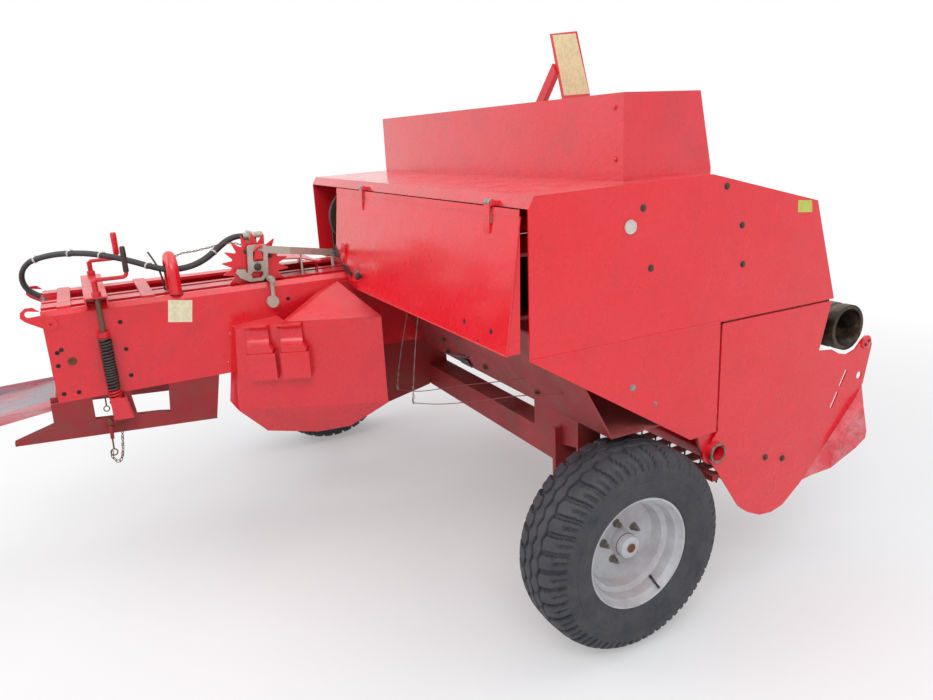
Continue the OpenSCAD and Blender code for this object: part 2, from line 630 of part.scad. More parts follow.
module rim_shape(side) {
  rotate([0, side * 90, 0]) {
    rotate_extrude() polygon([[rim_d / 2 - 12, -rim_w / 2 + 12], [rim_d / 2 - 12, rim_w / 2 - 12],
      [rim_d / 2 - 4, rim_w / 2], [rim_d / 2 - 10, rim_w / 2], [rim_d / 2 - 24, rim_w / 2 - 16],
      [150, 40], [150, 10], [110, -10], [75, -10], [75, 30], [62, 30], [62, 72], [0, 72], [0, 52], [38 + play, 52],
      [38 + play, -60], [62, -60], [62, -20], [120, -20], [158, 4], [158, -rim_w / 2 + 40],
      [rim_d / 2 - 24, -rim_w / 2 + 16], [rim_d / 2 - 10, -rim_w / 2], [rim_d / 2 - 4, -rim_w / 2]]);
    for (i = [0:stud_count - 1]) rotate([0, 0, i * 360 / stud_count])
      translate([stud_pcd / 2, 0, -12]) cylinder(h = 30, r = 9);
  }
}

module tyre_right() { color([0.12, 0.12, 0.13]) placed() translate([tyre_mid_r, 0, tyre_rad]) tyre_shape(); }
module tyre_left() { color([0.12, 0.12, 0.13]) placed() translate([tyre_mid_l, -left_wheel_back, tyre_rad]) tyre_shape(); }
module rim_right() { color([0.75, 0.76, 0.78]) placed() translate([tyre_mid_r, 0, tyre_rad]) rim_shape(1); }
module rim_left() { color([0.75, 0.76, 0.78]) placed() translate([tyre_mid_l, -left_wheel_back, tyre_rad]) rim_shape(-1); }

module rear_flap() {
  low = flap_low;
  color([0.9, 0.1, 0.16]) placed() {
    difference() {
      slope_sheet(flap_left, flap_right, [-446, low], [-386, 1560], sheet);
      cross_sheet(-300, 200) polygon([[flap_left - 1, low - 10], [-1460, low - 10], [-1460, low], [-1540, low + 16],
        [-1565, low + 50], [-1590, low + 71], [-1659, low + 105], [-1753, low + 169], [flap_left, 1560], [flap_left - 1, 1560]]);
    }
    for (x = flap_ears) difference() {
      union() {
        slope_sheet(x, x + 36, [-400, 1500], [flap_hinge[0] - 5, flap_hinge[1]], 5);
        rod_x(x, x + 36, flap_hinge[0], flap_hinge[1], 10);
      }
      rod_x(x - 1, x + 37, flap_hinge[0], flap_hinge[1], 5 + play);
    }
  }
}

module chute() {
  color([0.75, 0.3, 0.34]) placed() {
    x0 = lane_left + 6;
    x1 = lane_right - 6;
    slope_sheet(x0, x1, [-chute_back, 745], [chamber_back - 12, 800], -sheet);
    for (x = [x0, x1 - sheet])
      side_sheet(x, sheet) polygon([[chamber_back - 12, 797], [chamber_back - 12, 811], [-chute_back, 800], [-chute_back, 742]]);
    rod_x(lane_left - 14, lane_right + 14, chute_hinge[0], chute_hinge[1], 8);
    for (x = [x0, x1 - 40])
      block([x, chute_hinge[0] - 8, 796], [x + 40, chute_hinge[0] + 4, chute_hinge[1]]);
  }
}

module star_wheel() {
  color([0.85, 0.1, 0.14]) placed() difference() {
    union() {
      rod_x(star_x - 5, star_x + 5, star_y, star_z, 105);
      rod_x(star_x - 21, star_x + 14, star_y, star_z, 24);
      translate([star_x - 4, star_y, star_z]) rotate([0, 90, 0]) for (i = [0:star_teeth - 1])
        rotate([0, 0, i * 360 / star_teeth])
          linear_extrude(8) polygon([[100, -16], [star_r - 3, -2], [star_r - 3, 2], [100, 16]]);
    }
    rod_x(star_x - 30, star_x + 30, star_y, star_z, 12 + play);
  }
}

module pickup_outline() {
  polygon([[417, split_z - 8], [990, split_z - 8], [940, 925], [1020, 915], [1062, 892], [1112, 880], [1160, 892],
    [1194, 926], [1220, 940], [1244, 934], [1264, 898], [1231, 736], [1195, 683], [899, 380], [799, 305],
    [735, 290], [670, 297], [600, 330], [551, 367], [445, 522], [380, 610], [395, 680], [419, 712]]);
}

module reel_bearing(x) {
  rod_x(x, x + 24, reel_y, reel_z, 45);
}

module pickup_side_right() {
  x0 = hood_right - sheet;
  color([0.92, 0.12, 0.18]) placed() difference() {
    union() {
      side_sheet(x0, sheet) difference() {
        pickup_outline();
        for (p = [[1102, 782, 62], [1059, 697, 62]])
          translate([p[0], p[1]]) rotate(p[2]) square([70, 14], center = true);
        translate([1201, 775]) circle(r = 16);
      }
      reel_bearing(x0 - 24);
    }
    rod_x(x0 - 10, x0 + 10, hinge_y, hinge_z, hinge_r);
    rod_x(x0 - 25, x0 - 0.5, reel_y, reel_z, 20 + play);
  }
}

module pickup_side_left() {
  color([0.82, 0.1, 0.14]) placed() difference() {
    union() {
      side_sheet(-1530, sheet)
        polygon([[424, 700], [440, 815], [700, 830], [900, 800], [1050, 700], [1000, 480], [799, 315], [670, 300],
          [551, 367], [445, 522], [380, 610], [395, 680]]);
      reel_bearing(-1530 + sheet);
    }
    rod_x(-1540, -1520, hinge_y, hinge_z, hinge_r);
    rod_x(-1530 + sheet + 0.5, -1480, reel_y, reel_z, 20 + play);
  }
}

module pickup_strippers() {
  color([0.8, 0.12, 0.15]) placed() {
    for (p = [[440, 800], [425, 520]])
      translate([-1524, p[0], p[1]]) rotate([90, 0, 90]) linear_extrude(1524 + hood_right - sheet)
        square([30, 24], center = true);
    for (i = [0:tine_count - 2])
      side_sheet(-1440 + i * 96 + 20, 56) difference() {
        union() {
          translate([reel_y, reel_z]) circle(r = 176);
          polygon([[440, 788], [440, 812], [reel_y + 30, reel_z + 173], [reel_y, reel_z - 176], [425, 508], [425, 532]]);
        }
        union() {
          translate([reel_y, reel_z]) circle(r = 168);
          polygon([[420, 790], [reel_y + 30, reel_z + 164], [reel_y, reel_z - 168], [410, 530]]);
        }
      }
  }
}

module pickup_divider() {
  inner = hood_right - sheet;
  front = [[inner, 1231, 736], [inner, 1196, 683], [inner, 1079, 564], [inner, 1043, 527], [inner, 899, 380],
    [-62, 1194, 656], [-45, 1205, 551], [-42, 1198, 520], [-42, 1143, 489], [-72, 1037, 414],
    [-72, 1094, 564], [-72, 1060, 527], [-88, 950, 401]];
  n = len(front);
  skin = [[0, 5, 1], [1, 10, 2], [1, 5, 10], [2, 11, 3], [2, 10, 11], [3, 12, 4], [3, 9, 12], [3, 11, 9],
    [5, 6, 10], [10, 6, 11], [11, 6, 7], [11, 7, 8], [11, 8, 9]];
  rim = [0, 5, 6, 7, 8, 9, 12, 4, 3, 2, 1];
  color([0.85, 0.25, 0.3]) placed() {
    polyhedron(points = concat(front, [for (p = front) p + [-5, 1, -0.5]]),
      faces = concat(skin, [for (f = skin) [f[2] + n, f[1] + n, f[0] + n]],
        [for (i = [0:10]) let (a = rim[i], b = rim[(i + 1) % 11]) [b, a, a + n, b + n]]));
    side_sheet(inner - 5, 5)
      polygon([[1197, 681], [901, 378], [878, 401], [1174, 704], [1208, 745], [1233, 733]]);
  }
}

module pickup_tube() {
  color([0.8, 0.1, 0.14]) placed() difference() {
    rod_x(-1540, -86, hinge_y, hinge_z, hinge_r);
    rod_x(-1541, -85, hinge_y, hinge_z, hinge_r - 9);
  }
}

module reel() {
  color([0.35, 0.33, 0.33]) placed() {
    rod_x(-1496, -134, reel_y, reel_z, 34);
    rod_x(-1522, -108, reel_y, reel_z, 20);
    for (i = [0:bar_count - 1]) translate([0, reel_y, reel_z]) rotate([i * 360 / bar_count, 0, 0]) {
      rod_x(-1494, -136, 0, 130, 12);
      for (x = [-1490, -816, -140]) block([x - 4, -16, 0], [x + 4, 16, 130]);
      for (k = [0:tine_count - 1])
        translate([-1440 + k * 96, 0, 120]) cylinder(h = tine_r - 120, r = 4, $fn = 6);
    }
  }
}

chamber_right_wall();
chamber_left_wall();
chamber_floor();
chamber_top_rails();
tension_frame();
tension_rods();
tension_rail();
hose_bow();
hose_a();
hose_b();
knotter_stack();
knotter_cover();
trip_linkage();
needle_guard();
wheel_chocks();
feed_trough();
hood_roof();
hood_side_upper();
hood_side_lower();
hood_left_side();
hood_front();
cover_box();
guard_post();
axle();
gearbox();
front_frame();
drum_shaft();
pickup_hangers();
tyre_right();
rim_right();
tyre_left();
rim_left();
rear_flap();
chute();
star_wheel();
pickup_side_right();
pickup_side_left();
pickup_strippers();
pickup_divider();
pickup_tube();
reel();
flywheel();
drive_drum();
drawbar();
jack();
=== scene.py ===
from math import copysign, cos, pi, radians, sin, tau

import bmesh
import bpy
from mathutils import Matrix, Vector


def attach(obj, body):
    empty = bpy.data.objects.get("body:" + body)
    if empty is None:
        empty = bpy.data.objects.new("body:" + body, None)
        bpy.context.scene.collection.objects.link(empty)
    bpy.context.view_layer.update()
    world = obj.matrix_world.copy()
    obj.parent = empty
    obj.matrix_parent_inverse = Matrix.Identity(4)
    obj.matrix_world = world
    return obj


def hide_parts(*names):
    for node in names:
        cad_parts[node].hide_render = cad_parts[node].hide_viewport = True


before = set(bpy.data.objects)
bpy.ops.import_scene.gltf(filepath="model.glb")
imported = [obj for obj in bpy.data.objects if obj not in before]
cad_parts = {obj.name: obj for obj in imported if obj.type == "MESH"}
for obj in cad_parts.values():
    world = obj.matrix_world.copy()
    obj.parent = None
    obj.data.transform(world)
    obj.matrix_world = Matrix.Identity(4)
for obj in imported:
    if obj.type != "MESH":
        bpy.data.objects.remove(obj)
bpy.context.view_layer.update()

HALF_WIDTH = 1390
MIDDLE_Y = 550
RIGHT, AHEAD, BACK, UP = (1, 0, 0), (0, 1, 0), (0, -1, 0), (0, 0, 1)


def at(x, y, z):
    """A point in millimetres from the right tyre's outer face, its wheel's centre and the ground."""
    return Vector(((x + HALF_WIDTH) / 1000, (y - MIDDLE_Y) / 1000, z / 1000))


def on_x(x, *places):
    """Points that share one x, from their (y, z)."""
    return [at(x, y, z) for y, z in places]


# Camera at the photograph's viewing angle
CAMERA_PLACE = Vector((3.109, -2.074, 1.794))
CAMERA_AZIMUTH = radians(62.92)
CAMERA_ELEVATION = radians(16.17)
CAMERA_ROLL = radians(-2.84)
LENS_MM = 28.59
SENSOR_MM = 36.0


def make_camera():
    a, e = CAMERA_AZIMUTH, CAMERA_ELEVATION
    back = Vector((sin(a) * cos(e), -cos(a) * cos(e), sin(e)))
    right = Vector((cos(a), sin(a), 0))
    up = back.cross(right)
    c, s = cos(CAMERA_ROLL), sin(CAMERA_ROLL)
    tilted_right = c * right + s * up
    tilted_up = -s * right + c * up
    camera = bpy.data.objects.new("camera", bpy.data.cameras.new("camera"))
    camera.data.lens = LENS_MM
    camera.data.sensor_width = SENSOR_MM
    camera.matrix_world = Matrix.Translation(CAMERA_PLACE) @ Matrix(
        (tilted_right, tilted_up, back)).transposed().to_4x4()
    bpy.context.scene.collection.objects.link(camera)
    bpy.context.scene.camera = camera


make_camera()


# Materials

def rgba(colour):
    return colour if hasattr(colour, "links") else (*colour, 1)


def scaled(colour, factor):
    return tuple(c * factor for c in colour)


class Shader:
    """A material built from nodes, with short names for the ones used often."""

    def __init__(self, name):
        self.material = bpy.data.materials.new(name)
        self.material.use_nodes = True
        self.tree = self.material.node_tree
        self.tree.nodes.clear()
        self.out = self.node("OutputMaterial")
        self.bsdf = self.node("BsdfPrincipled")
        self.link(self.bsdf.outputs[0], self.out.inputs[0])
        self.place = self.node("TexCoord").outputs["Object"]

    def link(self, a, b):
        self.tree.links.new(a, b)

    def put(self, value, socket):
        if hasattr(value, "links"):
            self.link(value, socket)
        else:
            socket.default_value = value

    def node(self, kind, **inputs):
        """A new node; inputs are named as its sockets, with _ for a space."""
        n = self.tree.nodes.new("ShaderNode" + kind)
        for name, value in inputs.items():
            self.put(value, n.inputs[name.replace("_", " ")])
        return n

    def noise(self, scale, detail=4.0, rough=0.55, stretch=None, distort=0.0):
        n = self.node("TexNoise", Scale=scale, Detail=detail, Roughness=rough, Distortion=distort)
        place = self.place
        if stretch:
            place = self.node("Mapping", Scale=stretch, Vector=place).outputs["Vector"]
        self.link(place, n.inputs["Vector"])
        return n.outputs["Fac"]

    def cracks(self, scale):
        """The distance to the nearest border between irregular cells."""
        n = self.node("TexVoronoi", Scale=scale, Vector=self.place)
        n.feature = "DISTANCE_TO_EDGE"
        return n.outputs["Distance"]

    def span(self, value, a, b, low=0.0, high=1.0):
        n = self.node("MapRange", Value=value, From_Min=a, From_Max=b, To_Min=low, To_Max=high)
        n.clamp = True
        return n.outputs["Result"]

    def math(self, op, a, b=0.0):
        n = self.node("Math")
        n.operation = op
        n.use_clamp = op != "SUBTRACT"
        self.put(a, n.inputs[0])
        self.put(b, n.inputs[1])
        return n.outputs[0]

    def times(self, a, b):
        return self.math("MULTIPLY", a, b)

    def plus(self, a, b):
        return self.math("ADD", a, b)

    def mix(self, fac, a, b):
        n = self.node("Mix")
        n.data_type = "RGBA"
        self.put(fac, n.inputs[0])
        self.put(rgba(a), n.inputs[6])
        self.put(rgba(b), n.inputs[7])
        return n.outputs[2]

    def height_of(self, source):
        """The Z of a vector."""
        return self.node("SeparateXYZ", Vector=source).outputs[2]

    def upward(self):
        return self.height_of(self.node("NewGeometry").outputs["Normal"])

    def edges(self, radius):
        """1 along convex edges, 0 on the flat."""
        bevel = self.node("Bevel", Radius=radius)
        bevel.samples = 4
        flat = self.node("NewGeometry").outputs["Normal"]
        dot = self.node("VectorMath")
        dot.operation = "DOT_PRODUCT"
        self.link(bevel.outputs[0], dot.inputs[0])
        self.link(flat, dot.inputs[1])
        return self.span(dot.outputs["Value"], 0.995, 0.9)

    def bump(self, height, strength, distance, normal=None):
        n = self.node("Bump", Strength=strength, Distance=distance, Height=height)
        if normal:
            self.link(normal, n.inputs["Normal"])
        return n.outputs["Normal"]

    def finish(self, colour, rough, metal=0.0, normal=None, coat=0.0):
        self.put(rgba(colour), self.bsdf.inputs["Base Color"])
        self.put(rough, self.bsdf.inputs["Roughness"])
        self.put(metal, self.bsdf.inputs["Metallic"])
        if coat:
            self.bsdf.inputs["Coat Weight"].default_value = coat
            self.bsdf.inputs["Coat Roughness"].default_value = 0.12
        if normal:
            self.link(normal, self.bsdf.inputs["Normal"])
        return self.material


DIRT = (0.16, 0.05, 0.035)
# Pale pink for faces that look up: partly dust, partly a painted reflection of the sky
PAINTED_SKY_SHEEN_AND_DUST = (0.55, 0.3, 0.28)
SCRATCHED = (0.6, 0.13, 0.13)
EDGE_RUST = (0.2, 0.075, 0.05)
SPOT_RUST = (0.17, 0.05, 0.025)
GREASE = (0.014, 0.012, 0.011)
METAL_DUST = (0.3, 0.25, 0.2)
SMALL_DIRT = (0.13, 0.085, 0.06)


def paint(name, colour, faded, rough=0.3, dust=0.25, chips=0.5, rust=0.2, grime=0.2, coat=0.35,
          bumps=0.0):
    """Sprayed paint: patches, dust and a painted pink sky reflection on what faces up, chipped edges,
    rust spots and scratches.
    """
    s = Shader(name)
    tint = s.mix(s.span(s.noise(2.2, 3), 0.35, 0.7), colour, faded)
    fine = s.noise(60, 5, 0.6)
    tint = s.mix(s.span(fine, 0.45, 0.75, 0, 0.25), tint, scaled(colour, 0.6))
    dirt = s.times(s.span(s.noise(6, 6, 0.65), 0.48, 0.7), grime)
    tint = s.mix(dirt, tint, DIRT)
    # Pale pink on what faces up: dust together with a painted sky reflection
    lying = s.span(s.upward(), 0.35, 1.0)
    dusty = s.times(s.times(lying, s.span(s.noise(9, 8, 0.7), 0.35, 0.65)), dust)
    tint = s.mix(dusty, tint, PAINTED_SKY_SHEEN_AND_DUST)
    scratch = s.times(s.span(s.noise(60, 2, 0.4, (1.0, 0.1, 3.2), 1.2), 0.7, 0.712),
                      s.span(s.noise(2.6, 2), 0.5, 0.62))
    tint = s.mix(s.times(scratch, 0.4), tint, SCRATCHED)
    spots = s.times(s.span(s.noise(48, 6, 0.7), 0.69, 0.72), s.span(s.noise(3.4, 3), 0.5, 0.58))
    spots = s.times(spots, rust * 3)
    worn = s.times(s.edges(0.004), s.span(s.noise(26, 6, 0.65), 0.5, 0.58))
    worn = s.times(worn, chips)
    tint = s.mix(worn, tint, EDGE_RUST)
    tint = s.mix(spots, tint, SPOT_RUST)
    rough_now = s.plus(s.span(s.noise(11, 5), 0.3, 0.75, rough - 0.06, rough + 0.12),
                       s.plus(s.times(dusty, 0.8), s.times(worn, 0.35)))
    normal = s.bump(s.noise(420, 2, 0.5), 0.25, 0.0006)
    normal = s.bump(s.noise(3.2, 2, 0.4), 0.2, 0.005, normal)
    if bumps:
        normal = s.bump(s.noise(75, 3, 0.6), bumps, 0.003, normal)
    normal = s.bump(s.math("SUBTRACT", 1.0, s.math("MAXIMUM", worn, spots)), 0.25, 0.0008, normal)
    return s.finish(tint, rough_now, 0.0, normal, coat)


def metal_skin(name, colour, rusty, amount=0.4, rough=0.45, metal=0.7, grease=0.0, scale=1.0):
    """Bare or cast metal with rust in patches and, if wanted, dark grease."""
    s = Shader(name)
    mask = s.span(s.noise(14 * scale, 8, 0.7), 0.62 - 0.3 * amount, 0.74 - 0.2 * amount)
    tint = s.mix(s.span(s.noise(70 * scale, 5), 0.3, 0.75), colour, scaled(colour, 0.6))
    tint = s.mix(mask, tint, s.mix(s.span(s.noise(90 * scale, 4), 0.35, 0.7), rusty,
                                   scaled(rusty, 0.45)))
    if grease:
        tint = s.mix(s.times(s.span(s.noise(9 * scale, 5), 0.4, 0.6), grease), tint, GREASE)
    lying = s.times(s.span(s.upward(), 0.4, 1.0), s.span(s.noise(16, 6, 0.7), 0.4, 0.7, 0, 0.5))
    tint = s.mix(lying, tint, METAL_DUST)
    rough_now = s.plus(rough, s.times(mask, 0.35))
    normal = s.bump(s.noise(160 * scale, 6, 0.65), 0.35, 0.0012)
    normal = s.bump(mask, 0.3, 0.0006, normal)
    return s.finish(tint, rough_now, s.span(mask, 0.0, 1.0, metal, metal * 0.15), normal)


def rubber(name, colour, dust_colour, dusty, rough):
    """Rubber with fine cracks and a film of dust."""
    s = Shader(name)
    tint = s.mix(s.span(s.noise(30, 5), 0.3, 0.7), colour, scaled(colour, 1.7))
    film = s.times(s.span(s.noise(12, 8, 0.7), 0.35, 0.68), dusty)
    tint = s.mix(film, tint, dust_colour)
    crack = s.span(s.cracks(55), 0.0, 0.05)
    tint = s.mix(s.times(s.math("SUBTRACT", 1.0, crack), 0.3), tint, scaled(colour, 0.4))
    normal = s.bump(s.noise(240, 5, 0.6), 0.3, 0.0008)
    normal = s.bump(crack, 0.12, 0.0004, normal)
    return s.finish(tint, s.plus(rough, s.times(film, 0.2)), 0.0, normal)


def plain(name, colour, rough=0.4, metal=0.0, speck=0.2, grain=120):
    """A small painted, plastic or plated thing, still with a little dirt."""
    s = Shader(name)
    tint = s.mix(s.span(s.noise(grain, 5), 0.4, 0.75, 0, 0.5), colour, scaled(colour, 0.55))
    tint = s.mix(s.times(s.span(s.noise(18, 6, 0.7), 0.5, 0.66), speck), tint, SMALL_DIRT)
    normal = s.bump(s.noise(grain * 2.5, 3), 0.2, 0.0006)
    return s.finish(tint, s.span(s.noise(40, 4), 0.3, 0.7, rough - 0.05, rough + 0.15), metal, normal)


RED = (0.76, 0.007, 0.018)
FADED = (0.78, 0.018, 0.034)

# After the two colours: roughness, dust (with a painted sky reflection on what faces up), chips, rust
# and grime
red = paint("red_paint", RED, FADED)
# A brighter copy of the red for the hood sheets and flap: painted light; their lower dust, chips and
# grime are their own
lit_hood_red = paint("lit_hood_paint", (0.84, 0.008, 0.02), (0.86, 0.016, 0.032), 0.26, 0.12, 0.35,
                 0.12, 0.08)
# The roof faces up, so its larger dust amount also paints more pink sky reflection on it
roof_red = paint("roof_paint", (0.78, 0.008, 0.022), (0.8, 0.03, 0.05), 0.2, 0.35, 0.5, 0.3,
                 0.18, bumps=0.5, coat=0.6)
wall_red = paint("wall_paint", (0.76, 0.008, 0.02), (0.78, 0.014, 0.03), 0.3, 0.2, 0.7, 0.5,
                 0.28)
# A darker copy of the red for parts that lie in shade under and inside the machine: painted shade, with
# their own rust and grime
shaded_red = paint("shaded_red_paint", (0.3, 0.012, 0.018), (0.36, 0.025, 0.028), 0.5, 0.3, 0.8,
                 0.8, 0.7, coat=0.0)
guard_red = paint("guard_paint", (0.77, 0.008, 0.02), (0.79, 0.018, 0.034), 0.27, 0.22, 0.6,
                  0.3, 0.14)
grey_green = paint("grey_green_paint", (0.46, 0.48, 0.4), (0.55, 0.53, 0.46), 0.45, 0.3, 0.9,
                   0.7, 0.4, coat=0.0)
silver = paint("silver_paint", (0.58, 0.6, 0.63), (0.5, 0.51, 0.53), 0.38, 0.3, 0.7, 0.5,
               0.3, coat=0.1)
steel = metal_skin("bare_steel", (0.42, 0.41, 0.39), (0.2, 0.085, 0.04), 0.35, 0.42, 0.8)
dark_steel = metal_skin("dark_steel", (0.07, 0.06, 0.055), (0.13, 0.06, 0.032), 0.6, 0.55, 0.5,
                        grease=0.6)
drum_steel = metal_skin("drum_steel", (0.06, 0.045, 0.035), (0.16, 0.095, 0.045), 0.55, 0.42, 0.55,
                        grease=0.75, scale=1.6)
rusty_steel = metal_skin("rusty_steel", (0.2, 0.12, 0.08), (0.24, 0.09, 0.035), 0.9, 0.75, 0.3, scale=3)
black_paint = plain("black_paint", (0.025, 0.025, 0.027), 0.4)
bolt_steel = metal_skin("bolt_steel", (0.3, 0.28, 0.25), (0.16, 0.07, 0.035), 0.5, 0.45, 0.7, scale=4)
dark_bolt = metal_skin("dark_bolt", (0.08, 0.075, 0.07), (0.14, 0.07, 0.035), 0.5, 0.5, 0.5, scale=4)
tyre_rubber = rubber("tyre_rubber", (0.02, 0.022, 0.03), (0.13, 0.12, 0.115), 0.35, 0.6)
hose_rubber = rubber("hose_rubber", (0.012, 0.012, 0.013), (0.1, 0.095, 0.09), 0.35, 0.5)
tie_white = plain("tie_white", (0.75, 0.74, 0.7), 0.5)
pale_label = plain("pale_label", (0.86, 0.83, 0.56), 0.5, speck=0.1, grain=60)
yellow_label = plain("yellow_label", (0.62, 0.66, 0.12), 0.45, grain=60)
cream_label = plain("cream_label", (0.86, 0.8, 0.45), 0.45, speck=0.1, grain=60)
reflector_face = plain("reflector_face", (0.72, 0.66, 0.6), 0.25, grain=500)
grip_brown = plain("grip_brown", (0.045, 0.028, 0.022), 0.6)
twine = plain("twine", (0.34, 0.3, 0.24), 0.8, grain=900)
wire_red = plain("wire_red", (0.3, 0.06, 0.05), 0.6, grain=400)
# Near-black for the discs in holes and in the pick-up tube's end: painted shade where the inside is dark
hole_shade = plain("hole_shade", (0.012, 0.008, 0.008), 0.8)


def worn_chute():
    """Red paint rubbed through to blue-grey steel by the bales."""
    s = Shader("worn_sheet")
    rubbed = s.span(s.noise(7, 7, 0.65, (1.0, 0.3, 1.0)), 0.42, 0.6)
    streak = s.span(s.noise(60, 5, 0.6, (1.0, 0.06, 1.0)), 0.4, 0.65)
    base = s.mix(streak, (0.6, 0.1, 0.13), (0.7, 0.28, 0.3))
    bare = s.mix(streak, (0.3, 0.34, 0.38), (0.42, 0.42, 0.44))
    colour = s.mix(rubbed, base, bare)
    rust = s.span(s.noise(30, 7, 0.7), 0.62, 0.68)
    colour = s.mix(s.times(rust, 0.7), colour, (0.2, 0.085, 0.045))
    normal = s.bump(streak, 0.2, 0.0006, s.bump(s.noise(200, 5), 0.2, 0.0008))
    return s.finish(colour, s.span(streak, 0, 1, 0.35, 0.6), s.span(rubbed, 0, 1, 0.0, 0.55), normal)


def worn_divider():
    """Pink, polished paint with fine dark scuffs."""
    s = Shader("worn_divider")
    scuff = s.span(s.noise(90, 6, 0.7, (1.0, 0.5, 0.5)), 0.5, 0.66)
    patch = s.span(s.noise(9, 5), 0.42, 0.62)
    colour = s.mix(patch, (0.74, 0.05, 0.07), (0.74, 0.2, 0.22))
    colour = s.mix(s.times(scuff, 0.55), colour, (0.34, 0.05, 0.05))
    normal = s.bump(scuff, 0.25, 0.0006, s.bump(s.noise(5, 3), 0.3, 0.004))
    return s.finish(colour, s.span(scuff, 0, 1, 0.3, 0.6), 0.0, normal, 0.2)


# Where colours meet on the tension rods, in metres above the ground, and half of each blend
SPRING_FOOT = (0.86, 0.002)
SPRING_HEAD = (1.076, 0.002)
COLLAR_TOP = (1.102, 0.001)
NUT_FOOT = (1.247, 0.001)


def tension_paint():
    """Red foot, black spring, red collar, bare rod, red nut and crank, chosen by height."""
    s = Shader("tension_paint")
    z = s.height_of(s.place)
    grime = s.span(s.noise(60, 6, 0.7), 0.4, 0.7)
    black = s.mix(grime, (0.02, 0.02, 0.022), (0.075, 0.05, 0.035))
    rod = s.mix(grime, (0.09, 0.05, 0.035), (0.2, 0.09, 0.045))
    redder = s.mix(s.times(grime, 0.4), (0.66, 0.014, 0.024), (0.25, 0.03, 0.02))
    colour = redder
    for (height, blend), above in ((SPRING_FOOT, black), (SPRING_HEAD, redder), (COLLAR_TOP, rod),
                                   (NUT_FOOT, redder)):
        colour = s.mix(s.span(z, height - blend, height + blend), colour, above)
    normal = s.bump(s.noise(220, 5), 0.35, 0.001)
    return s.finish(colour, s.span(grime, 0, 1, 0.4, 0.7), 0.0, normal)


chute_skin = worn_chute()
divider_skin = worn_divider()
tension_skin = tension_paint()

NODES_BY_SKIN = (
    (wall_red, "chamber_right_wall chamber_left_wall chamber_top_rails tension_frame knotter_cover"),
    (shaded_red, "chamber_floor tension_rail feed_trough axle pickup_strippers"),
    (red, "hose_bow hood_left_side hood_front guard_post front_frame star_wheel drawbar"),
    (red, "pickup_hangers pickup_side_left pickup_tube"),
    (lit_hood_red, "hood_side_upper hood_side_lower rear_flap pickup_side_right"),
    (roof_red, "hood_roof cover_box"),
    (guard_red, "needle_guard wheel_chocks"),
    (grey_green, "trip_linkage"),
    (dark_steel, "knotter_stack gearbox drum_shaft reel flywheel"),
    (drum_steel, "drive_drum"),
    (steel, "jack"),
    (silver, "rim_right rim_left"),
    (tension_skin, "tension_rods"),
    (chute_skin, "chute"),
    (divider_skin, "pickup_divider"),
    (tyre_rubber, "tyre_right tyre_left"),
    (hose_rubber, "hose_a hose_b"),
)
for skin, names in NODES_BY_SKIN:
    for name in names.split():
        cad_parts[name].data.materials.clear()
        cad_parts[name].data.materials.append(skin)


# Shapes

def turned(origin, axis):
    """A matrix that sets +Z along axis and moves to origin."""
    return Matrix.Translation(origin) @ Vector(axis).to_track_quat("Z", "Y").to_matrix().to_4x4()


def lathe(bm, origin, axis, profile, sides=24, turn=0.0):
    """Spins (radius, height) points, in millimetres, round axis."""
    m = turned(origin, axis)
    rings = []
    for r, h in profile:
        if r < 0.01:
            rings.append([bm.verts.new(m @ Vector((0, 0, h / 1000)))])
        else:
            rings.append([bm.verts.new(m @ Vector((r / 1000 * cos(turn + k * tau / sides),
                                                   r / 1000 * sin(turn + k * tau / sides), h / 1000)))
                          for k in range(sides)])
    for a, b in zip(rings, rings[1:]):
        for k in range(sides):
            j = (k + 1) % sides
            if len(a) == 1 and len(b) > 1:
                bm.faces.new((a[0], b[k], b[j]))
            elif len(b) == 1 and len(a) > 1:
                bm.faces.new((a[k], a[j], b[0]))
            elif len(a) > 1:
                bm.faces.new((a[k], a[j], b[j], b[k]))


def bolt(bm, origin, axis, r=9, h=7, turn=0.3, washer=True):
    """A six-sided head with a rounded top, on a washer."""
    base = 0
    if washer:
        lathe(bm, origin, axis, [(0, -0.5), (r * 1.45, -0.5), (r * 1.5, 0.6), (r * 1.38, 1.4), (0, 1.4)],
              20)
        base = 1.2
    lathe(bm, origin, axis, [(0, base), (r, base), (r, base + h * 0.78), (r * 0.86, base + h),
                             (0, base + h * 1.04)], 6, turn)


def ring(bm, origin, axis, radius, wire, sides=24, round_=10):
    """A ring of round wire; radius to the wire's middle, wire its own radius, in millimetres."""
    m = turned(origin, axis)
    loops = []
    for k in range(sides):
        a = k * tau / sides
        loop = []
        for j in range(round_):
            b = j * tau / round_
            d = radius + wire * cos(b)
            loop.append(bm.verts.new(m @ (Vector((d * cos(a), d * sin(a), wire * sin(b))) / 1000)))
        loops.append(loop)
    for k in range(sides):
        a, b = loops[k], loops[(k + 1) % sides]
        for j in range(round_):
            i = (j + 1) % round_
            bm.faces.new((a[j], b[j], b[i], a[i]))


def tube(bm, points, radius, sides=10, cap=True):
    """A round bar along points, in metres; radius in millimetres, one number or one for each point."""
    n = len(points)
    radii = radius if isinstance(radius, (list, tuple)) else [radius] * n
    tangents = [(points[min(i + 1, n - 1)] - points[max(i - 1, 0)]).normalized() for i in range(n)]
    side = tangents[0].orthogonal().normalized()
    rings = []
    for i in range(n):
        side = (side - side.dot(tangents[i]) * tangents[i]).normalized()
        other = tangents[i].cross(side)
        rings.append([bm.verts.new(points[i] + radii[i] / 1000 * (cos(k * tau / sides) * side
                                                                   + sin(k * tau / sides) * other))
                      for k in range(sides)])
    for a, b in zip(rings, rings[1:]):
        for k in range(sides):
            j = (k + 1) % sides
            bm.faces.new((a[k], a[j], b[j], b[k]))
    if cap:
        bm.faces.new(rings[0][::-1])
        bm.faces.new(rings[-1])


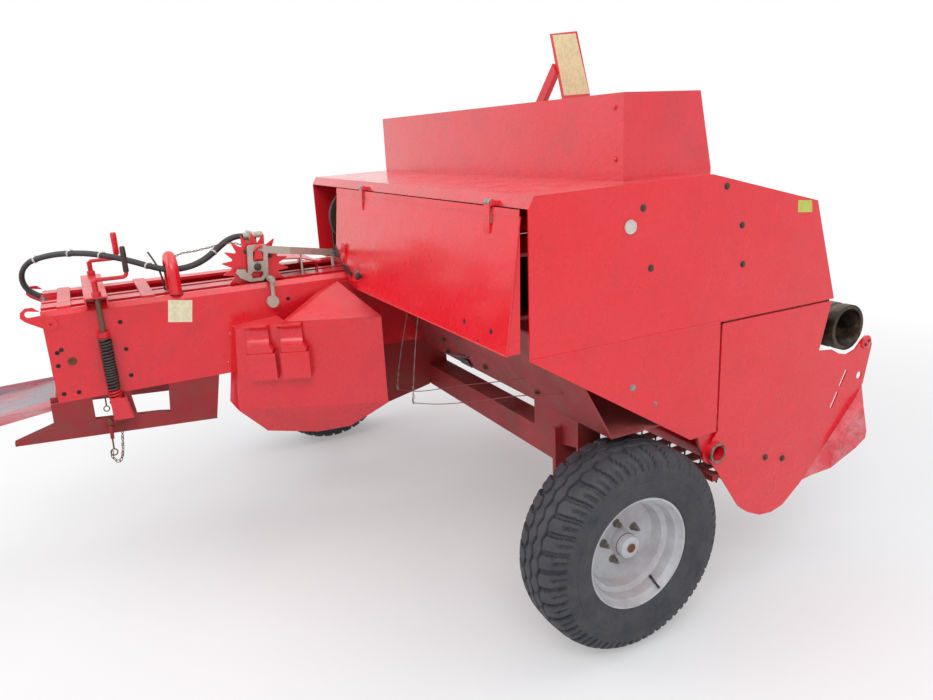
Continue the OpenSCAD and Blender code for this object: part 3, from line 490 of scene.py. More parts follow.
def slab(bm, corners, normal, t):
    """A flat plate from its corners, in metres, t millimetres thick along normal."""
    n = Vector(normal).normalized() * t / 1000
    low = [bm.verts.new(c) for c in corners]
    high = [bm.verts.new(c + n) for c in corners]
    bm.faces.new(low[::-1])
    bm.faces.new(high)
    k = len(corners)
    for i in range(k):
        j = (i + 1) % k
        bm.faces.new((low[i], low[j], high[j], high[i]))


def smooth(points, steps=5):
    """A smooth line through the points."""
    out = []
    n = len(points)
    for i in range(n - 1):
        p0, p1, p2, p3 = points[max(i - 1, 0)], points[i], points[i + 1], points[min(i + 2, n - 1)]
        for k in range(steps):
            t = k / steps
            out.append(0.5 * ((2 * p1) + (p2 - p0) * t + (2 * p0 - 5 * p1 + 4 * p2 - p3) * t * t
                              + (3 * p1 - p0 - 3 * p2 + p3) * t ** 3))
    out.append(points[-1].copy())
    return out


def piece(name, build, material, body="frame", sharp=38, slot=None, replaces=()):
    """Builds a mesh piece and lets it ride on a body."""
    bm = bmesh.new()
    build(bm)
    bmesh.ops.recalc_face_normals(bm, faces=bm.faces)
    mesh = bpy.data.meshes.new(name)
    bm.to_mesh(mesh)
    bm.free()
    mesh.polygons.foreach_set("use_smooth", [True] * len(mesh.polygons))
    mesh.set_sharp_from_angle(angle=radians(sharp))
    mesh.materials.append(material)
    obj = bpy.data.objects.new(name, mesh)
    bpy.context.scene.collection.objects.link(obj)
    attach(obj, body)
    if replaces:
        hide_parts(*replaces)
    return obj


def made(name, *details, **named):
    """Turns the function that follows into a piece."""
    return lambda build: piece(name, build, *details, **named)


def bolts(name, places, axis, r=9, h=7, material=bolt_steel, body="frame"):
    """Bolts at (x, y, z) or (x, y, z, own radius), each turned a little further."""
    def build(bm):
        for i, p in enumerate(places):
            bolt(bm, at(*p[:3]), axis, r if len(p) < 4 else p[3], h, 0.3 + 0.7 * i)
    piece(name, build, material, body)


# Hoses, along the same route as their solids
HOSE_ROUTE = [(-2042, -1716, 1194.6), (-2042, -1737, 1209.8), (-2042, -1755.6, 1228.4),
              (-2042, -1767.5, 1251.8), (-2041, -1771.6, 1277.8), (-2039, -1767.5, 1303.7),
              (-2036, -1755.6, 1327.1), (-2032, -1737, 1345.7), (-2027, -1721.8, 1354.5),
              (-2012, -1680, 1368), (-1980, -1625, 1378), (-1940, -1565, 1381), (-1893, -1505, 1379),
              (-1846, -1445, 1370), (-1800, -1388, 1357), (-1755, -1332, 1340), (-1712, -1278, 1321),
              (-1676, -1230, 1307), (-1657, -1190, 1302), (-1652, -1145, 1303), (-1658, -1098, 1311),
              (-1668, -1052, 1328), (-1680, -1010, 1352), (-1692, -972, 1377), (-1701, -936, 1397),
              (-1706, -900, 1407), (-1706, -870, 1407)]
HOSE_R = 11
HOSE_GAP = 13
TIES_AT = (34, 44, 52, 64, 88)


def hose_line(side):
    """The middle of one hose: the route moved sideways."""
    middle = [at(*p) for p in HOSE_ROUTE]
    out = []
    for i, p in enumerate(middle):
        t = (middle[min(i + 1, len(middle) - 1)] - middle[max(i - 1, 0)]).normalized()
        across = (Vector(RIGHT) - t.x * t).normalized()
        out.append(p + across * side * HOSE_GAP / 1000)
    return smooth(out, 4)


for name, side in (("hose_a", 1), ("hose_b", -1)):
    line = hose_line(side)
    hose = piece(name + "_skin", lambda bm: tube(bm, line, HOSE_R, 16), hose_rubber, "frame", 60,
                 "hose_rubber", (name,))


@made("hose_ties", tie_white, sharp=60)
def tie_build(bm):
    """White ties, two turns and a short tail each, round both hoses."""
    a, b = hose_line(1), hose_line(-1)
    for i in TIES_AT:
        t = (a[i + 1] - a[i - 1]).normalized()
        across = (b[i] - a[i]).normalized()
        out = t.cross(across)
        for k in (-2.5, 1.5):
            loop = []
            for j in range(20):
                q = j * tau / 20
                x = cos(q)
                end = b[i] if x > 0 else a[i]
                wide = x * (HOSE_R + 1) / 1000 if abs(x) > 0.01 else 0
                loop.append(end + across * wide
                            + out * (sin(q) * (HOSE_R + 1.2) / 1000) + t * (k / 1000))
            loop.append(loop[0])
            tube(bm, loop, 1.7, 6, False)
        tail = (a[i] + b[i]) / 2 + out * (HOSE_R + 1) / 1000
        tube(bm, [tail, tail + out * 0.006 + t * 0.004, tail + out * 0.007 + t * 0.012], 1.1, 6)


# Tyres with tread blocks
TYRE_R = 380
TYRE_W = 264
LEFT_WHEEL_Y = -300
WHEELS = (("right", Vector((-TYRE_W / 2, 0, TYRE_R)), 1),
          ("left", Vector((TYRE_W / 2 - 2 * HALF_WIDTH, LEFT_WHEEL_Y, TYRE_R)), -1))
PITCHES = 36
TYRE_STEPS = 540
TREAD_FROM_R = 322
GROOVES = ((-40, 1), (0, -1), (40, 1))
GROOVE_DEPTH, LUG_DEPTH, SHOULDER_DEPTH, SIPE_DEPTH = 11, 13, 9, 2.2


def tyre_line():
    """(x, radius) across the tyre from one bead to the other."""
    half = [(98, 206), (104, 207), (110, 211), (115, 218), (119, 226), (124, 231), (127, 240),
            (130.5, 254), (132, 272), (131.5, 280), (129.5, 283), (131, 288), (129.5, 300), (128, 310),
            (126, 320)]
    curve = [(122, 331), (117, 340), (111, 348), (105, 355), (102, 358), (98, 361), (94, 364),
             (90, 366.4), (86, 368.2), (82, 369.8), (78, 371.2), (74, 372.4), (70, 373.5), (66, 374.5),
             (62, 375.5), (58, 376.3), (54, 377)]
    flat = [(x, 377 + 3 * (1 - x / 50)) for x in range(50, 0, -3)]
    side = half + curve + flat
    return [(-x, r) for x, r in side] + [(0.5, TYRE_R)] + [(x, r) for x, r in reversed(side)]


def step(v, a, b):
    """0 below a, 1 above b, smooth between."""
    t = min(max((v - a) / (b - a), 0.0), 1.0)
    return t * t * (3 - 2 * t)


def groove_depth(x, turn):
    """How deep the tread is cut at a place across the tyre and round it (in pitches)."""
    f = turn % 1.0
    zig = 1 - 4 * abs(f - 0.5)
    depth = 0.0
    for c, phase in GROOVES:
        d = abs(x - c - 5.5 * zig * phase)
        depth = max(depth, GROOVE_DEPTH * (1 - step(d, 3.2, 5.6)))
    e = abs(x)
    if e > 44:
        lean = 0.32 * ((e - 44) / 76) ** 1.5
        half_pitch = 0.5 if x < 0 else 0.0
        g = abs((turn + lean + half_pitch) % 1.0 - 0.5)
        fade = 1 - step(e, 119, 127)
        depth = max(depth, LUG_DEPTH * (1 - step(g, 0.1, 0.135)) * fade * step(e, 44, 50))
        h = abs((turn + lean + 0.5 + half_pitch) % 1.0 - 0.5)
        edge = step(e, 90, 96) * (1 - step(e, 121, 127))
        depth = max(depth, SHOULDER_DEPTH * (1 - step(h, 0.055, 0.09)) * edge)
    elif 8 < e < 34:
        h = abs((turn + 0.25 + 0.012 * x) % 1.0 - 0.5)
        depth = max(depth, SIPE_DEPTH * (1 - step(h, 0.02, 0.045)))
    return depth


def tyre(bm, centre, side):
    line = tyre_line()
    rows = []
    for k in range(TYRE_STEPS):
        a = k * tau / TYRE_STEPS
        row = []
        for x, r in line:
            depth = groove_depth(x * side, k * PITCHES / TYRE_STEPS) if r > TREAD_FROM_R else 0.0
            inward = 0.0 if abs(x) < 100 else copysign((abs(x) - 100) / 30, x)
            rib = 0.5 * sin(r * 0.9) if 240 < r < 320 else 0.0
            far = r - depth + rib
            row.append(bm.verts.new(at(centre.x + x - inward * depth * 0.6,
                                       centre.y + far * cos(a), centre.z + far * sin(a))))
        rows.append(row)
    for k in range(TYRE_STEPS):
        p, q = rows[k], rows[(k + 1) % TYRE_STEPS]
        for i in range(len(line) - 1):
            bm.faces.new((p[i], p[i + 1], q[i + 1], q[i]))
        bm.faces.new((p[-1], p[0], q[0], q[-1]))


# (radius, distance outward from the wheel's middle): the side that shows, and the hidden one
RIM_LINE = [(206, 97), (208.5, 101), (206, 105), (199, 104), (195, 97), (191, 86), (184, 80), (179, 64),
            (177, 46), (170, 38), (160, 33), (156, 22), (154, 0), (150, -6), (140, -8), (96, -8),
            (92, -6.5), (48, -6.5), (44, -4), (42, 2), (42, 50), (39, 56), (28, 58), (0, 58.5)]
RIM_BACK = [(0, -62), (60, -62), (62, -22), (118, -22), (150, -14), (158, -20), (160, -60), (178, -72),
            (190, -88), (199, -106), (206, -108), (208.5, -103), (204, -96), (196, -90), (196, 90),
            (206, 97)]
STUD_CIRCLE_R = 72
STUDS = 5


def rim(bm, centre, side):
    for line in (RIM_LINE, RIM_BACK):
        lathe(bm, at(*centre), (side, 0, 0), line, 96)


def wheel_nuts(bm, centre, side):
    out = (side, 0, 0)
    for k in range(STUDS):
        a = k * tau / STUDS + 0.2
        p = at(centre.x - side * 6.5, centre.y - STUD_CIRCLE_R * sin(a),
               centre.z + STUD_CIRCLE_R * cos(a))
        lathe(bm, p, out, [(0, 0), (16, 0), (13, 7), (12, 7), (0, 7)], 24)
        lathe(bm, p, out, [(0, 6), (11.5, 6), (11.5, 20), (9.5, 22.5), (0, 22.5)], 6, 0.5 + k)
        lathe(bm, p, out, [(0, 22), (6, 22), (6, 33), (5, 34), (0, 34)], 14)


def hub_hole(bm, centre, side):
    """The dark hole in the hub cap's middle and the seam round its foot."""
    out = (side, 0, 0)
    lathe(bm, at(centre.x + side * 58.2, centre.y, centre.z), out,
          [(0, 0.5), (13, 0.5), (16, 1.5), (17, 3.2), (13, 3), (11, 0.8), (0, 0.7)], 32)
    ring(bm, at(centre.x + side * 30, centre.y, centre.z), out, 42.4, 1.6, 48, 8)


def valve(bm, centre, side):
    a = -1.0
    p = at(centre.x + side * 52, centre.y + 176 * cos(a), centre.z + 176 * sin(a))
    q = p + Vector((side * 0.052, -0.012, -0.006))
    tube(bm, [p, p.lerp(q, 0.5), q], [6, 4.2, 4], 12)
    tube(bm, [q, q + (q - p).normalized() * 0.012], 5, 12)


def wheel_piece(name, build, material, wheel, sharp=38, slot=None, node=None):
    which, centre, side = wheel
    piece(name + which, lambda bm: build(bm, centre, side), material, "wheel_" + which, sharp, slot,
          (node + which,) if node else ())


for wheel in WHEELS:
    wheel_piece("tyre_skin_", tyre, tyre_rubber, wheel, 28, "tyre", "tyre_")
    wheel_piece("rim_skin_", rim, silver, wheel, 30, "silver_rim", "rim_")
    wheel_piece("wheel_nuts_", wheel_nuts, bolt_steel, wheel)
    wheel_piece("hub_hole_", hub_hole, rusty_steel, wheel)
    wheel_piece("valve_", valve, hose_rubber, wheel)

# Tension rods, springs and cranks
CHAMBER_RIGHT, CHAMBER_LEFT = -1566, -2126
ROD_X = (CHAMBER_RIGHT + 30, CHAMBER_LEFT - 30)
ROD_Y = -1498
SPRING_LOW, SPRING_HIGH, SPRING_TURNS, SPRING_R, WIRE_R = 811, 1071, 21, 21.5, 4.4
TURN_STEPS = 22


@made("tension_rods_skin", tension_skin, "frame", 40, "spring_steel", ("tension_rods",))
def tension_build(bm):
    """Rods with their springs, washers, nuts and cranks. The coils lie closer in the spring's middle."""
    for x in ROD_X:
        tube(bm, on_x(x, (ROD_Y, 742), (ROD_Y, 1050), (ROD_Y, 1310)), 11, 20)
        helix = []
        for k in range(SPRING_TURNS * TURN_STEPS + 1):
            t = k / (SPRING_TURNS * TURN_STEPS)
            a = t * SPRING_TURNS * tau
            uneven = 0.018 * sin(tau * min(max((t - 0.5) * 1.4 + 0.5, 0), 1))
            helix.append(at(x + SPRING_R * cos(a), ROD_Y + SPRING_R * sin(a),
                            SPRING_LOW + (SPRING_HIGH - SPRING_LOW) * (t + uneven)))
        tube(bm, helix, WIRE_R, 10)
        for z, r, h in ((800, 26, 8), (1073, 24, 5), (1080, 22, 20)):
            lathe(bm, at(x, ROD_Y, z), UP, [(0, 0), (r, 0), (r + 0.8, 1), (r, h), (0, h)], 32)
        lathe(bm, at(x, ROD_Y, 1247), UP, [(0, 0), (18, 0), (18, 17), (15.5, 20), (0, 20)], 6, 0.3)
        bend = [at(x, ROD_Y + q[0], 1280 + q[1]) for q in ((0, 0), (0, 18), (4, 28), (12, 32), (60, 32),
                                                           (96, 32), (112, 34), (120, 42), (122, 56))]
        tube(bm, smooth(bend, 4), 8, 16)


def grip(x, r):
    return lambda bm: lathe(bm, at(x, ROD_Y + 122, 1330), UP, [
        (0, 0), (r - 3, 0), (r, 4), (r - 0.6, 40), (r, 70), (r - 0.4, 98), (r - 3, 104), (0, 105)], 24)


piece("crank_grip_right", grip(ROD_X[0], 11), grip_brown)
piece("crank_grip_left", grip(ROD_X[1], 14), red)


def rod_bracket(bm):
    for x in (ROD_X[0] + 25, ROD_X[1] - 31):
        slab(bm, on_x(x, (-1522, 828), (-1463, 822), (-1445, 730), (-1518, 734)), RIGHT, 6)
        for y0, y1 in ((-1522, -1518), (-1463, -1445)):
            slab(bm, [at(x, y0, 826), at(x, y1, 732), at(x - 40, y1, 732), at(x - 40, y0, 826)], AHEAD,
                 4)


@made("tension_pins", rusty_steel)
def tension_foot(bm):
    for x in ROD_X:
        lathe(bm, at(x - 20, ROD_Y - 38, 724), RIGHT,
              [(0, 0), (9, 0), (10, 2), (10, 36), (9, 40), (0, 40)], 20)
        ring(bm, at(x + 8, ROD_Y - 44, 590), (1, 0, 0.2), 13, 2.6)
        tube(bm, [at(x + 6, ROD_Y - 38, 722), at(x + 8, ROD_Y - 41, 660), at(x + 8, ROD_Y - 43, 604)],
             3.4, 10)


@made("pin_sleeves", shaded_red)
def pin_sleeves(bm):
    for x in ROD_X:
        tube(bm, [at(x + 6, ROD_Y - 38, 706), at(x + 8, ROD_Y - 41, 650)], [8, 7.4], 16)


piece("rod_brackets", rod_bracket, red)

LINK_PITCH = 0.0155


@made("tension_chain", rusty_steel, sharp=60)
def chain_build(bm):
    x = CHAMBER_RIGHT + 34
    route = smooth([at(x + 4, -1480, 812), at(x + 5, -1488, 760), at(x + 4, -1496, 690),
                    at(x + 2, -1512, 575), at(x + 2, -1532, 545), at(x + 2, -1552, 572),
                    at(x, -1545, 596)], 12)
    total, gone, turn = 0.0, 0.0, False
    for a, b in zip(route, route[1:]):
        total += (b - a).length
        while gone + LINK_PITCH < total:
            gone += LINK_PITCH
            d = (b - a).normalized()
            side = d.orthogonal().normalized() if not turn else d.cross(d.orthogonal()).normalized()
            loop = []
            for k in range(14):
                q = k * tau / 14
                loop.append(b + d * 0.0098 * cos(q) + side * 0.0052 * sin(q))
            loop.append(loop[0].copy())
            tube(bm, loop, 1.7, 7, False)
            turn = not turn


# Bolts, hinges and holes of the hood
SIDE_X = -99.9


def side_bolts(name, places, r, h, material, body="frame"):
    """Bolts on the right side sheet, from (y, z) or (y, z, radius)."""
    bolts(name, [(SIDE_X, *p) for p in places], RIGHT, r, h, material, body)


side_bolts("hood_bolts", [(49, 1549), (405, 1590), (485, 1454), (85, 1355), (498, 1318)], 8, 5,
           dark_bolt)
side_bolts("hood_low_bolts", [(19, 961, 8), (119, 884, 5)], 7, 4, steel)
side_bolts("pickup_plate_bolts", [(679, 543), (776, 514)], 9, 6, dark_bolt, "pickup")
bolts("box_bolts", [(-250, 55.9, 1856), (-245, 55.9, 1695)], BACK, 7, 5, red)
bolts("guard_bolts", [(-1376, -1034, 1050), (-1519, -1034, 893)], BACK, 8, 6, red)

WALL_HOLES = [(-1430, 1126), (-1426, 1010), (-1425, 896), (-1627, 862), (-1659, 1047), (-1675, 1037),
              (-1681, 984), (-1681, 865), (-734, 1124)]


# Near-black discs on the wall: painted shade in its holes
@made("wall_holes", hole_shade)
def wall_holes(bm):
    for place in on_x(CHAMBER_RIGHT + 0.2, *WALL_HOLES):
        lathe(bm, place, RIGHT, [(0, 0), (8.5, 0), (8.9, 0.3), (0, 0.5)], 24)


@made("wall_socket", rusty_steel, sharp=60)
def wall_socket(bm):
    ring(bm, at(CHAMBER_RIGHT + 1, -1629, 995), RIGHT, 13, 4, 28, 8)
    lathe(bm, at(CHAMBER_RIGHT + 0.4, -1629, 995), RIGHT, [(0, 0), (12, 0)], 28)


def sheet_piece(name, corners, normal, t, material, body="frame"):
    piece(name, lambda bm: slab(bm, corners, normal, t), material, body)


sheet_piece("wall_label", on_x(CHAMBER_RIGHT + 0.2, (-1235, 1190), (-1140, 1176), (-1154, 1082),
                               (-1249, 1097)), RIGHT, 0.5, pale_label)
sheet_piece("side_label", on_x(SIDE_X, (756, 1516), (829, 1510), (835, 1467), (760, 1473)), RIGHT, 0.6,
            yellow_label)
POST_Y = 595.9
sheet_piece("post_label", [at(x, POST_Y, z) for x, z in ((-1385, 2222), (-1204, 2206), (-1104, 1945),
                                                         (-1296, 1948))], BACK, 0.5, cream_label)


@made("side_reflector", reflector_face)
def reflector(bm):
    lathe(bm, at(SIDE_X, -2, 1495), RIGHT, [(0, 0), (22, 0), (23, 2), (22, 6), (20, 6.5), (19, 5.2),
                                            (10, 6.6), (0, 7)], 40)


def face_y(z):
    """The flap's outer face."""
    return -452 + (z - 1147) * 0.1453


def on_flap(*places, off=0.3):
    """Points off millimetres outside the flap's face, from their (x, z)."""
    return [at(x, face_y(z) - off, z) for x, z in places]


FLAP_OUT = (0, -0.9896, 0.1438)
HINGE_X = (-1421, -296)
HINGE_PIN = (-390, 1592)


@made("flap_hinges", steel, "flap")
def flap_hinges(bm):
    for x in HINGE_X:
        slab(bm, on_flap((x - 22, 1532), (x + 22, 1532), (x + 22, 1574), (x - 22, 1574)), FLAP_OUT, 4)
        for place in on_flap((x - 12, 1548), (x + 12, 1548), off=4.4):
            bolt(bm, place, FLAP_OUT, 6, 4, 0.4, False)
        tube(bm, [at(x - 17, *HINGE_PIN), at(x + 17, *HINGE_PIN)], 11.5, 20)


# Near-black discs on the flap: painted shade in its holes
@made("flap_holes", hole_shade, "flap")
def flap_holes(bm):
    for x, z, r in ((-399, 1203, 9), (-222, 1206, 9), (-300, 1160, 4)):
        lathe(bm, at(x, face_y(z), z), FLAP_OUT, [(0, 0.1), (r, 0.1), (r, 0.5), (0, 0.6)], 24)


def flap_edges(bm):
    """The folded rim along the flap's right and lower edges."""
    for ends in (((-120, 1150), (-120, 1556)), ((-1455, 1150), (-124, 1150))):
        a, b = on_flap(*ends, off=-2)
        tube(bm, [a, a.lerp(b, 0.5), b], 3.2, 12)


def flap_folds(bm):
    """The folded top edge under the roof's lip and the folded right edge."""
    y0, y1 = face_y(1557) + 0.5, face_y(1580) + 0.5
    slab(bm, [at(-1775, y0, 1557), at(-121, y0, 1557), at(-121, y1, 1580), at(-1775, y1, 1580)],
         FLAP_OUT, 3)
    slab(bm, on_x(-123, (face_y(1150) + 1, 1150), (-402, 1150), (-390, 1556), (face_y(1556) + 1, 1556)),
         RIGHT, 3)


piece("flap_rim", flap_edges, lit_hood_red, "flap")
piece("flap_folds", flap_folds, lit_hood_red, "flap")


@made("side_seam", lit_hood_red)
def side_seam(bm):
    """The upper side sheet laps over the lower one."""
    slab(bm, on_x(-100.2, (-379, 1121), (404, 1121), (404, 1131), (-379, 1131)), RIGHT, 2.4)


@made("flap_latch", black_paint, "flap")
def latch_build(bm):
    """A flat bar and, beside it, a round knob."""
    y = face_y(1215)
    slab(bm, [at(x, y - 0.5, z) for x, z in ((-1600, 1222), (-1500, 1196), (-1500, 1214),
                                             (-1596, 1240))], FLAP_OUT, 9)
    lathe(bm, at(-1386, face_y(1214), 1214), FLAP_OUT,
          [(0, 0), (9, 0), (9, 8), (15, 10), (16, 20), (12, 25), (0, 26)], 28)


CLIP = ((-1464, 1240, 1238), (-1412, 1240, 1232), (-1409, 1197, 1197), (-1458, 1197, 1204))
sheet_piece("flap_clip", [at(x, face_y(high) - 0.3, z) for x, high, z in CLIP], FLAP_OUT, 3, steel,
            "flap")


@made("flap_handle", lit_hood_red, "flap")
def handle_tab(bm):
    """The rounded red tab beside the flap's cut corner."""
    y = face_y(1290) - 2
    arc = [radians(d) for d in range(180, -1, -20)]
    outline = [(-1640, 1236), (-1648, 1300)] + [(-1624 + 24 * cos(a), 1312 + 24 * sin(a))
                                               for a in arc] + [(-1592, 1240)]
    slab(bm, [at(x, y, z) for x, z in outline], FLAP_OUT, 7)


TAB_Y = face_y(1168) - 0.3
sheet_piece("flap_tab", [at(x, TAB_Y, z) for x, z in ((-1530, 1186), (-1440, 1184), (-1440, 1166),
                                                      (-1530, 1172))], FLAP_OUT, 6, lit_hood_red, "flap")

# Star wheel, trip linkage and hose couplings
STAR_Y, STAR_Z = -843, 1277


@made("star_hub", red, "star_wheel")
def star_hub(bm):
    lathe(bm, at(-1633, STAR_Y, STAR_Z), RIGHT, [(0, 0), (32, 0), (32, 5), (28, 8), (0, 8)], 40)


def bolt_circle(bm, x, y, z, r, count, start=0.0):
    """Bolts in a circle round a cross axis."""
    for k in range(count):
        a = k * tau / count + start
        bolt(bm, at(x, y + r * cos(a), z + r * sin(a)), RIGHT, 7, 5, k)


@made("star_bolts", dark_bolt, "star_wheel")
def star_own_bolts(bm):
    bolt_circle(bm, -1638, STAR_Y, STAR_Z, 78, 4, 0.5)


piece("star_pin", lambda bm: bolt(bm, at(-1604, STAR_Y, STAR_Z), RIGHT, 11, 6), dark_bolt, "frame")


@made("trip_lever", red)
def trip_lever(bm):
    slab(bm, on_x(-1611.8, (-853, 1309), (-812, 1309), (-820, 1346), (-845, 1346)), RIGHT, 5)
    tube(bm, [at(-1609, -846, 1352), at(-1606, -832, 1364), at(-1606, -812, 1368)], 7, 14)


COUPLING_X, COUPLING_Z = -1706, 1407
PAIR = (-HOSE_GAP, HOSE_GAP)


def coupling_part(bm, y, profile):
    """The same round form, along the machine, on both couplings."""
    for s in PAIR:
        lathe(bm, at(COUPLING_X + s, y, COUPLING_Z), AHEAD, profile, 24)


@made("couplings", grey_green)
def coupling_steel(bm):
    for s in PAIR:
        p = at(COUPLING_X + s, -872, COUPLING_Z)
        lathe(bm, p, AHEAD, [(0, 0), (12.6, 0), (12.9, 2), (12.9, 14), (12.4, 15), (0, 15)], 24)
        lathe(bm, p, AHEAD, [(0, 15), (12.8, 15), (12.8, 27), (0, 27)], 6, 0.3 * s)
        lathe(bm, p, AHEAD, [(0, 46), (12.6, 46), (12.6, 52), (11.8, 54), (11.8, 68), (12.8, 70),
                             (12.8, 84), (11, 87), (0, 87)], 24)


piece("coupling_caps", lambda bm: coupling_part(
    bm, -842, [(0, 0), (13.3, 0), (13.6, 1), (13.6, 8), (13.2, 9), (0, 9)]), red)
piece("coupling_bands", lambda bm: coupling_part(
    bm, -833, [(0, 0), (13.4, 0), (13.4, 6), (12.9, 7), (0, 7)]), tie_white)


@made("hose_fittings", steel)
def fitting_bits(bm):
    """The crimped ends and nuts from which the hoses leave."""
    d = Vector((0, -20.6, 15.1)).normalized()
    for s in PAIR:
        p = at(HOSE_ROUTE[0][0] + s, *HOSE_ROUTE[0][1:]) - d * 0.03
        lathe(bm, p, d, [(0, 0), (13.2, 0), (13.4, 2), (13.4, 22), (12.6, 24), (0, 24)], 24)
        lathe(bm, p, d, [(0, -16), (14, -16), (14, -2), (0, -2)], 6, 0.4)


@made("bar_twine", twine, sharp=60)
def knot(bm):
    """Twine wound round the star wheel's bar."""
    for k in range(5):
        a = k * 2.4
        ring(bm, at(-1806 + 5 * cos(a), -437 + 5 * sin(a), 1268 + 4 * k), (cos(a), sin(a), 1.2), 10,
             2.4, 18, 8)


@made("bow_wires", rusty_steel, sharp=60)
def loose_wires(bm):
    base = [at(-1632, -1196, 1350), at(-1628, -1150, 1368), at(-1624, -1090, 1374),
            at(-1628, -1030, 1382), at(-1640, -970, 1390), at(-1652, -915, 1384), at(-1652, -860, 1360)]
    line = smooth(base, 8)
    for phase in (0.0, pi):
        tube(bm, [p + Vector((0.003 * cos(i * 0.9 + phase), 0, 0.003 * sin(i * 0.9 + phase)))
                  for i, p in enumerate(line)], 1.6, 6)


@made("bow_rod", black_paint, sharp=60)
def bow_rod(bm):
    tube(bm, smooth([at(-1700, -1228, 1210), at(-1706, -1232, 1262), at(-1716, -1240, 1304),
                     at(-1736, -1254, 1342), at(-1764, -1268, 1372)], 5), 4, 10)


@made("bow_welds", shaded_red, sharp=60)
def bow_welds(bm):
    for x in (-1592, -1722):
        ring(bm, at(x, -1196, 1208), UP, 25.5, 3.2, 32, 8)


# Twine, its eyelets and rings below the trough

def trough_y(z):
    """The Y of the feed trough's sloping rear face."""
    return -64 - (z - 794) * 198 / 356 - 7


TROUGH_OUT = (0, -0.874, -0.486)
KNOT_AT = 24
bolts("trough_bolts", [(x, trough_y(z) + 0.6, z) for x, z in ((-1230, 904), (-1281, 823), (-792, 1038),
                                                              (-900, 850), (-500, 850), (-300, 1040),
                                                              (-1400, 1040))], TROUGH_OUT, 9, 6,
      dark_bolt)


@made("twine_strands", twine, sharp=60)
def strands(bm):
    """Two twisted twines hanging from the trough, each with a knot at its ring."""
    a = smooth([at(-1345, trough_y(1060) + 2, 1062), at(-1352, -240, 1050), at(-1360, -262, 960),
                at(-1386, -284, 820), at(-1404, -296, 720), at(-1412, -300, 670)], 6)
    b = smooth([at(-1235, trough_y(1060) + 2, 1062), at(-1235, -240, 1050), at(-1234, -262, 950),
                at(-1232, -284, 800), at(-1231, -296, 700), at(-1234, -300, 654)], 6)
    for line in (a, b):
        for phase in (0.0, pi):
            tube(bm, [p + Vector((0.0016 * cos(i * 1.1 + phase), 0.0016 * sin(i * 1.1 + phase), 0))
                      for i, p in enumerate(line)], 1.5, 6)
    for line in (a, b):
        for k in range(3):
            ring(bm, line[KNOT_AT] + Vector((0, 0, 0.004 * k)), (0.3 * k, 0.4, 1), 4.5, 1.6, 14, 6)
    end = b[KNOT_AT]
    tube(bm, [end, end + Vector((0.012, -0.006, -0.02)), end + Vector((0.03, -0.008, -0.036))], 1.3, 6)


@made("twine_rings", steel, sharp=60)
def twine_rings(bm):
    ring(bm, at(-1414, -300, 657), (0.2, 1, 0), 12, 2.4)
    ring(bm, at(-1235, -300, 640), (0.2, 1, 0), 12, 2.4)


@made("twine_wires", wire_red, sharp=60)
def twine_wires(bm):
    for route in ([at(-1404, -300, 650), at(-1290, -292, 672), at(-1135, -280, 714), at(-900, -216, 792),
                   at(-660, -160, 866), at(-548, trough_y(902) + 2, 902)],
                  [at(-1224, -300, 634), at(-1010, -282, 690), at(-781, -236, 760), at(-520, -180, 850),
                   at(-278, trough_y(922) + 2, 922)]):
        tube(bm, smooth(route, 6), 1.8, 8)


@made("twine_eyelets", steel, sharp=60)
def eyelets(bm):
    for k in range(6):
        f = k / 5
        x, z = -1284 + 244 * f, 819 + 43 * f
        y = trough_y(z)
        ring(bm, at(x, y - 10, z), (0, 0.3, 1), 9, 2, 18, 8)
        tube(bm, [at(x, y + 6, z), at(x, y - 2, z)], 3, 8)


sheet_piece("trough_hatch", [at(x, trough_y(z) - 0.4, z) for x, z in (
    (-1171, 800), (-1065, 800), (-1065, 838), (-1171, 838))], TROUGH_OUT, 2, black_paint)

# Pick-up side and drum details
PICKUP_PIVOT = (413, 631)
DRUM_Y, DRUM_Z = 1125, 985


@made("pickup_cap", lit_hood_red, "pickup")
def side_cap(bm):
    lathe(bm, at(SIDE_X, 1223, 912), RIGHT, [(0, 0), (28, 0), (29, 1.5), (28, 5), (25, 6.4), (0, 7)], 40)


bolts("pickup_cap_bolts", [(-93.2, 1213, 905), (-93.2, 1232, 918)], RIGHT, 5, 4, dark_bolt, "pickup")


@made("pickup_tube_rim", bolt_steel, "pickup")
def tube_ring(bm):
    lathe(bm, at(-87, *PICKUP_PIVOT), RIGHT, [(29.4, 0), (29.4, 2), (37.5, 2), (38.2, 1), (38.2, -3)],
          48)


# A near-black disc inside the pick-up tube's end: painted shade
piece("pickup_tube_shade", lambda bm: lathe(bm, at(-150, *PICKUP_PIVOT), RIGHT, [(0, 0), (28.6, 0)], 40),
      hole_shade, "pickup")


@made("drum_hub", dark_steel, "drum")
def drum_face(bm):
    lathe(bm, at(-330, DRUM_Y, DRUM_Z), RIGHT, [(24, 0), (40, 2), (44, 10), (44, 22), (24, 22)], 36)
    bolt_circle(bm, -321, DRUM_Y, DRUM_Z, 58, 6)


@made("side_lips", shaded_red)
def side_lips(bm):
    """Folded lips behind the gaps round the pick-up's side plate, in the darker red that paints the
    shade in the gaps.
    """
    slab(bm, on_x(-111, (412, 1096), (985, 1096), (985, 1132), (412, 1132)), RIGHT, 3)
    slab(bm, on_x(-111, (388, 800), (430, 800), (430, 1132), (388, 1132)), RIGHT, 3)


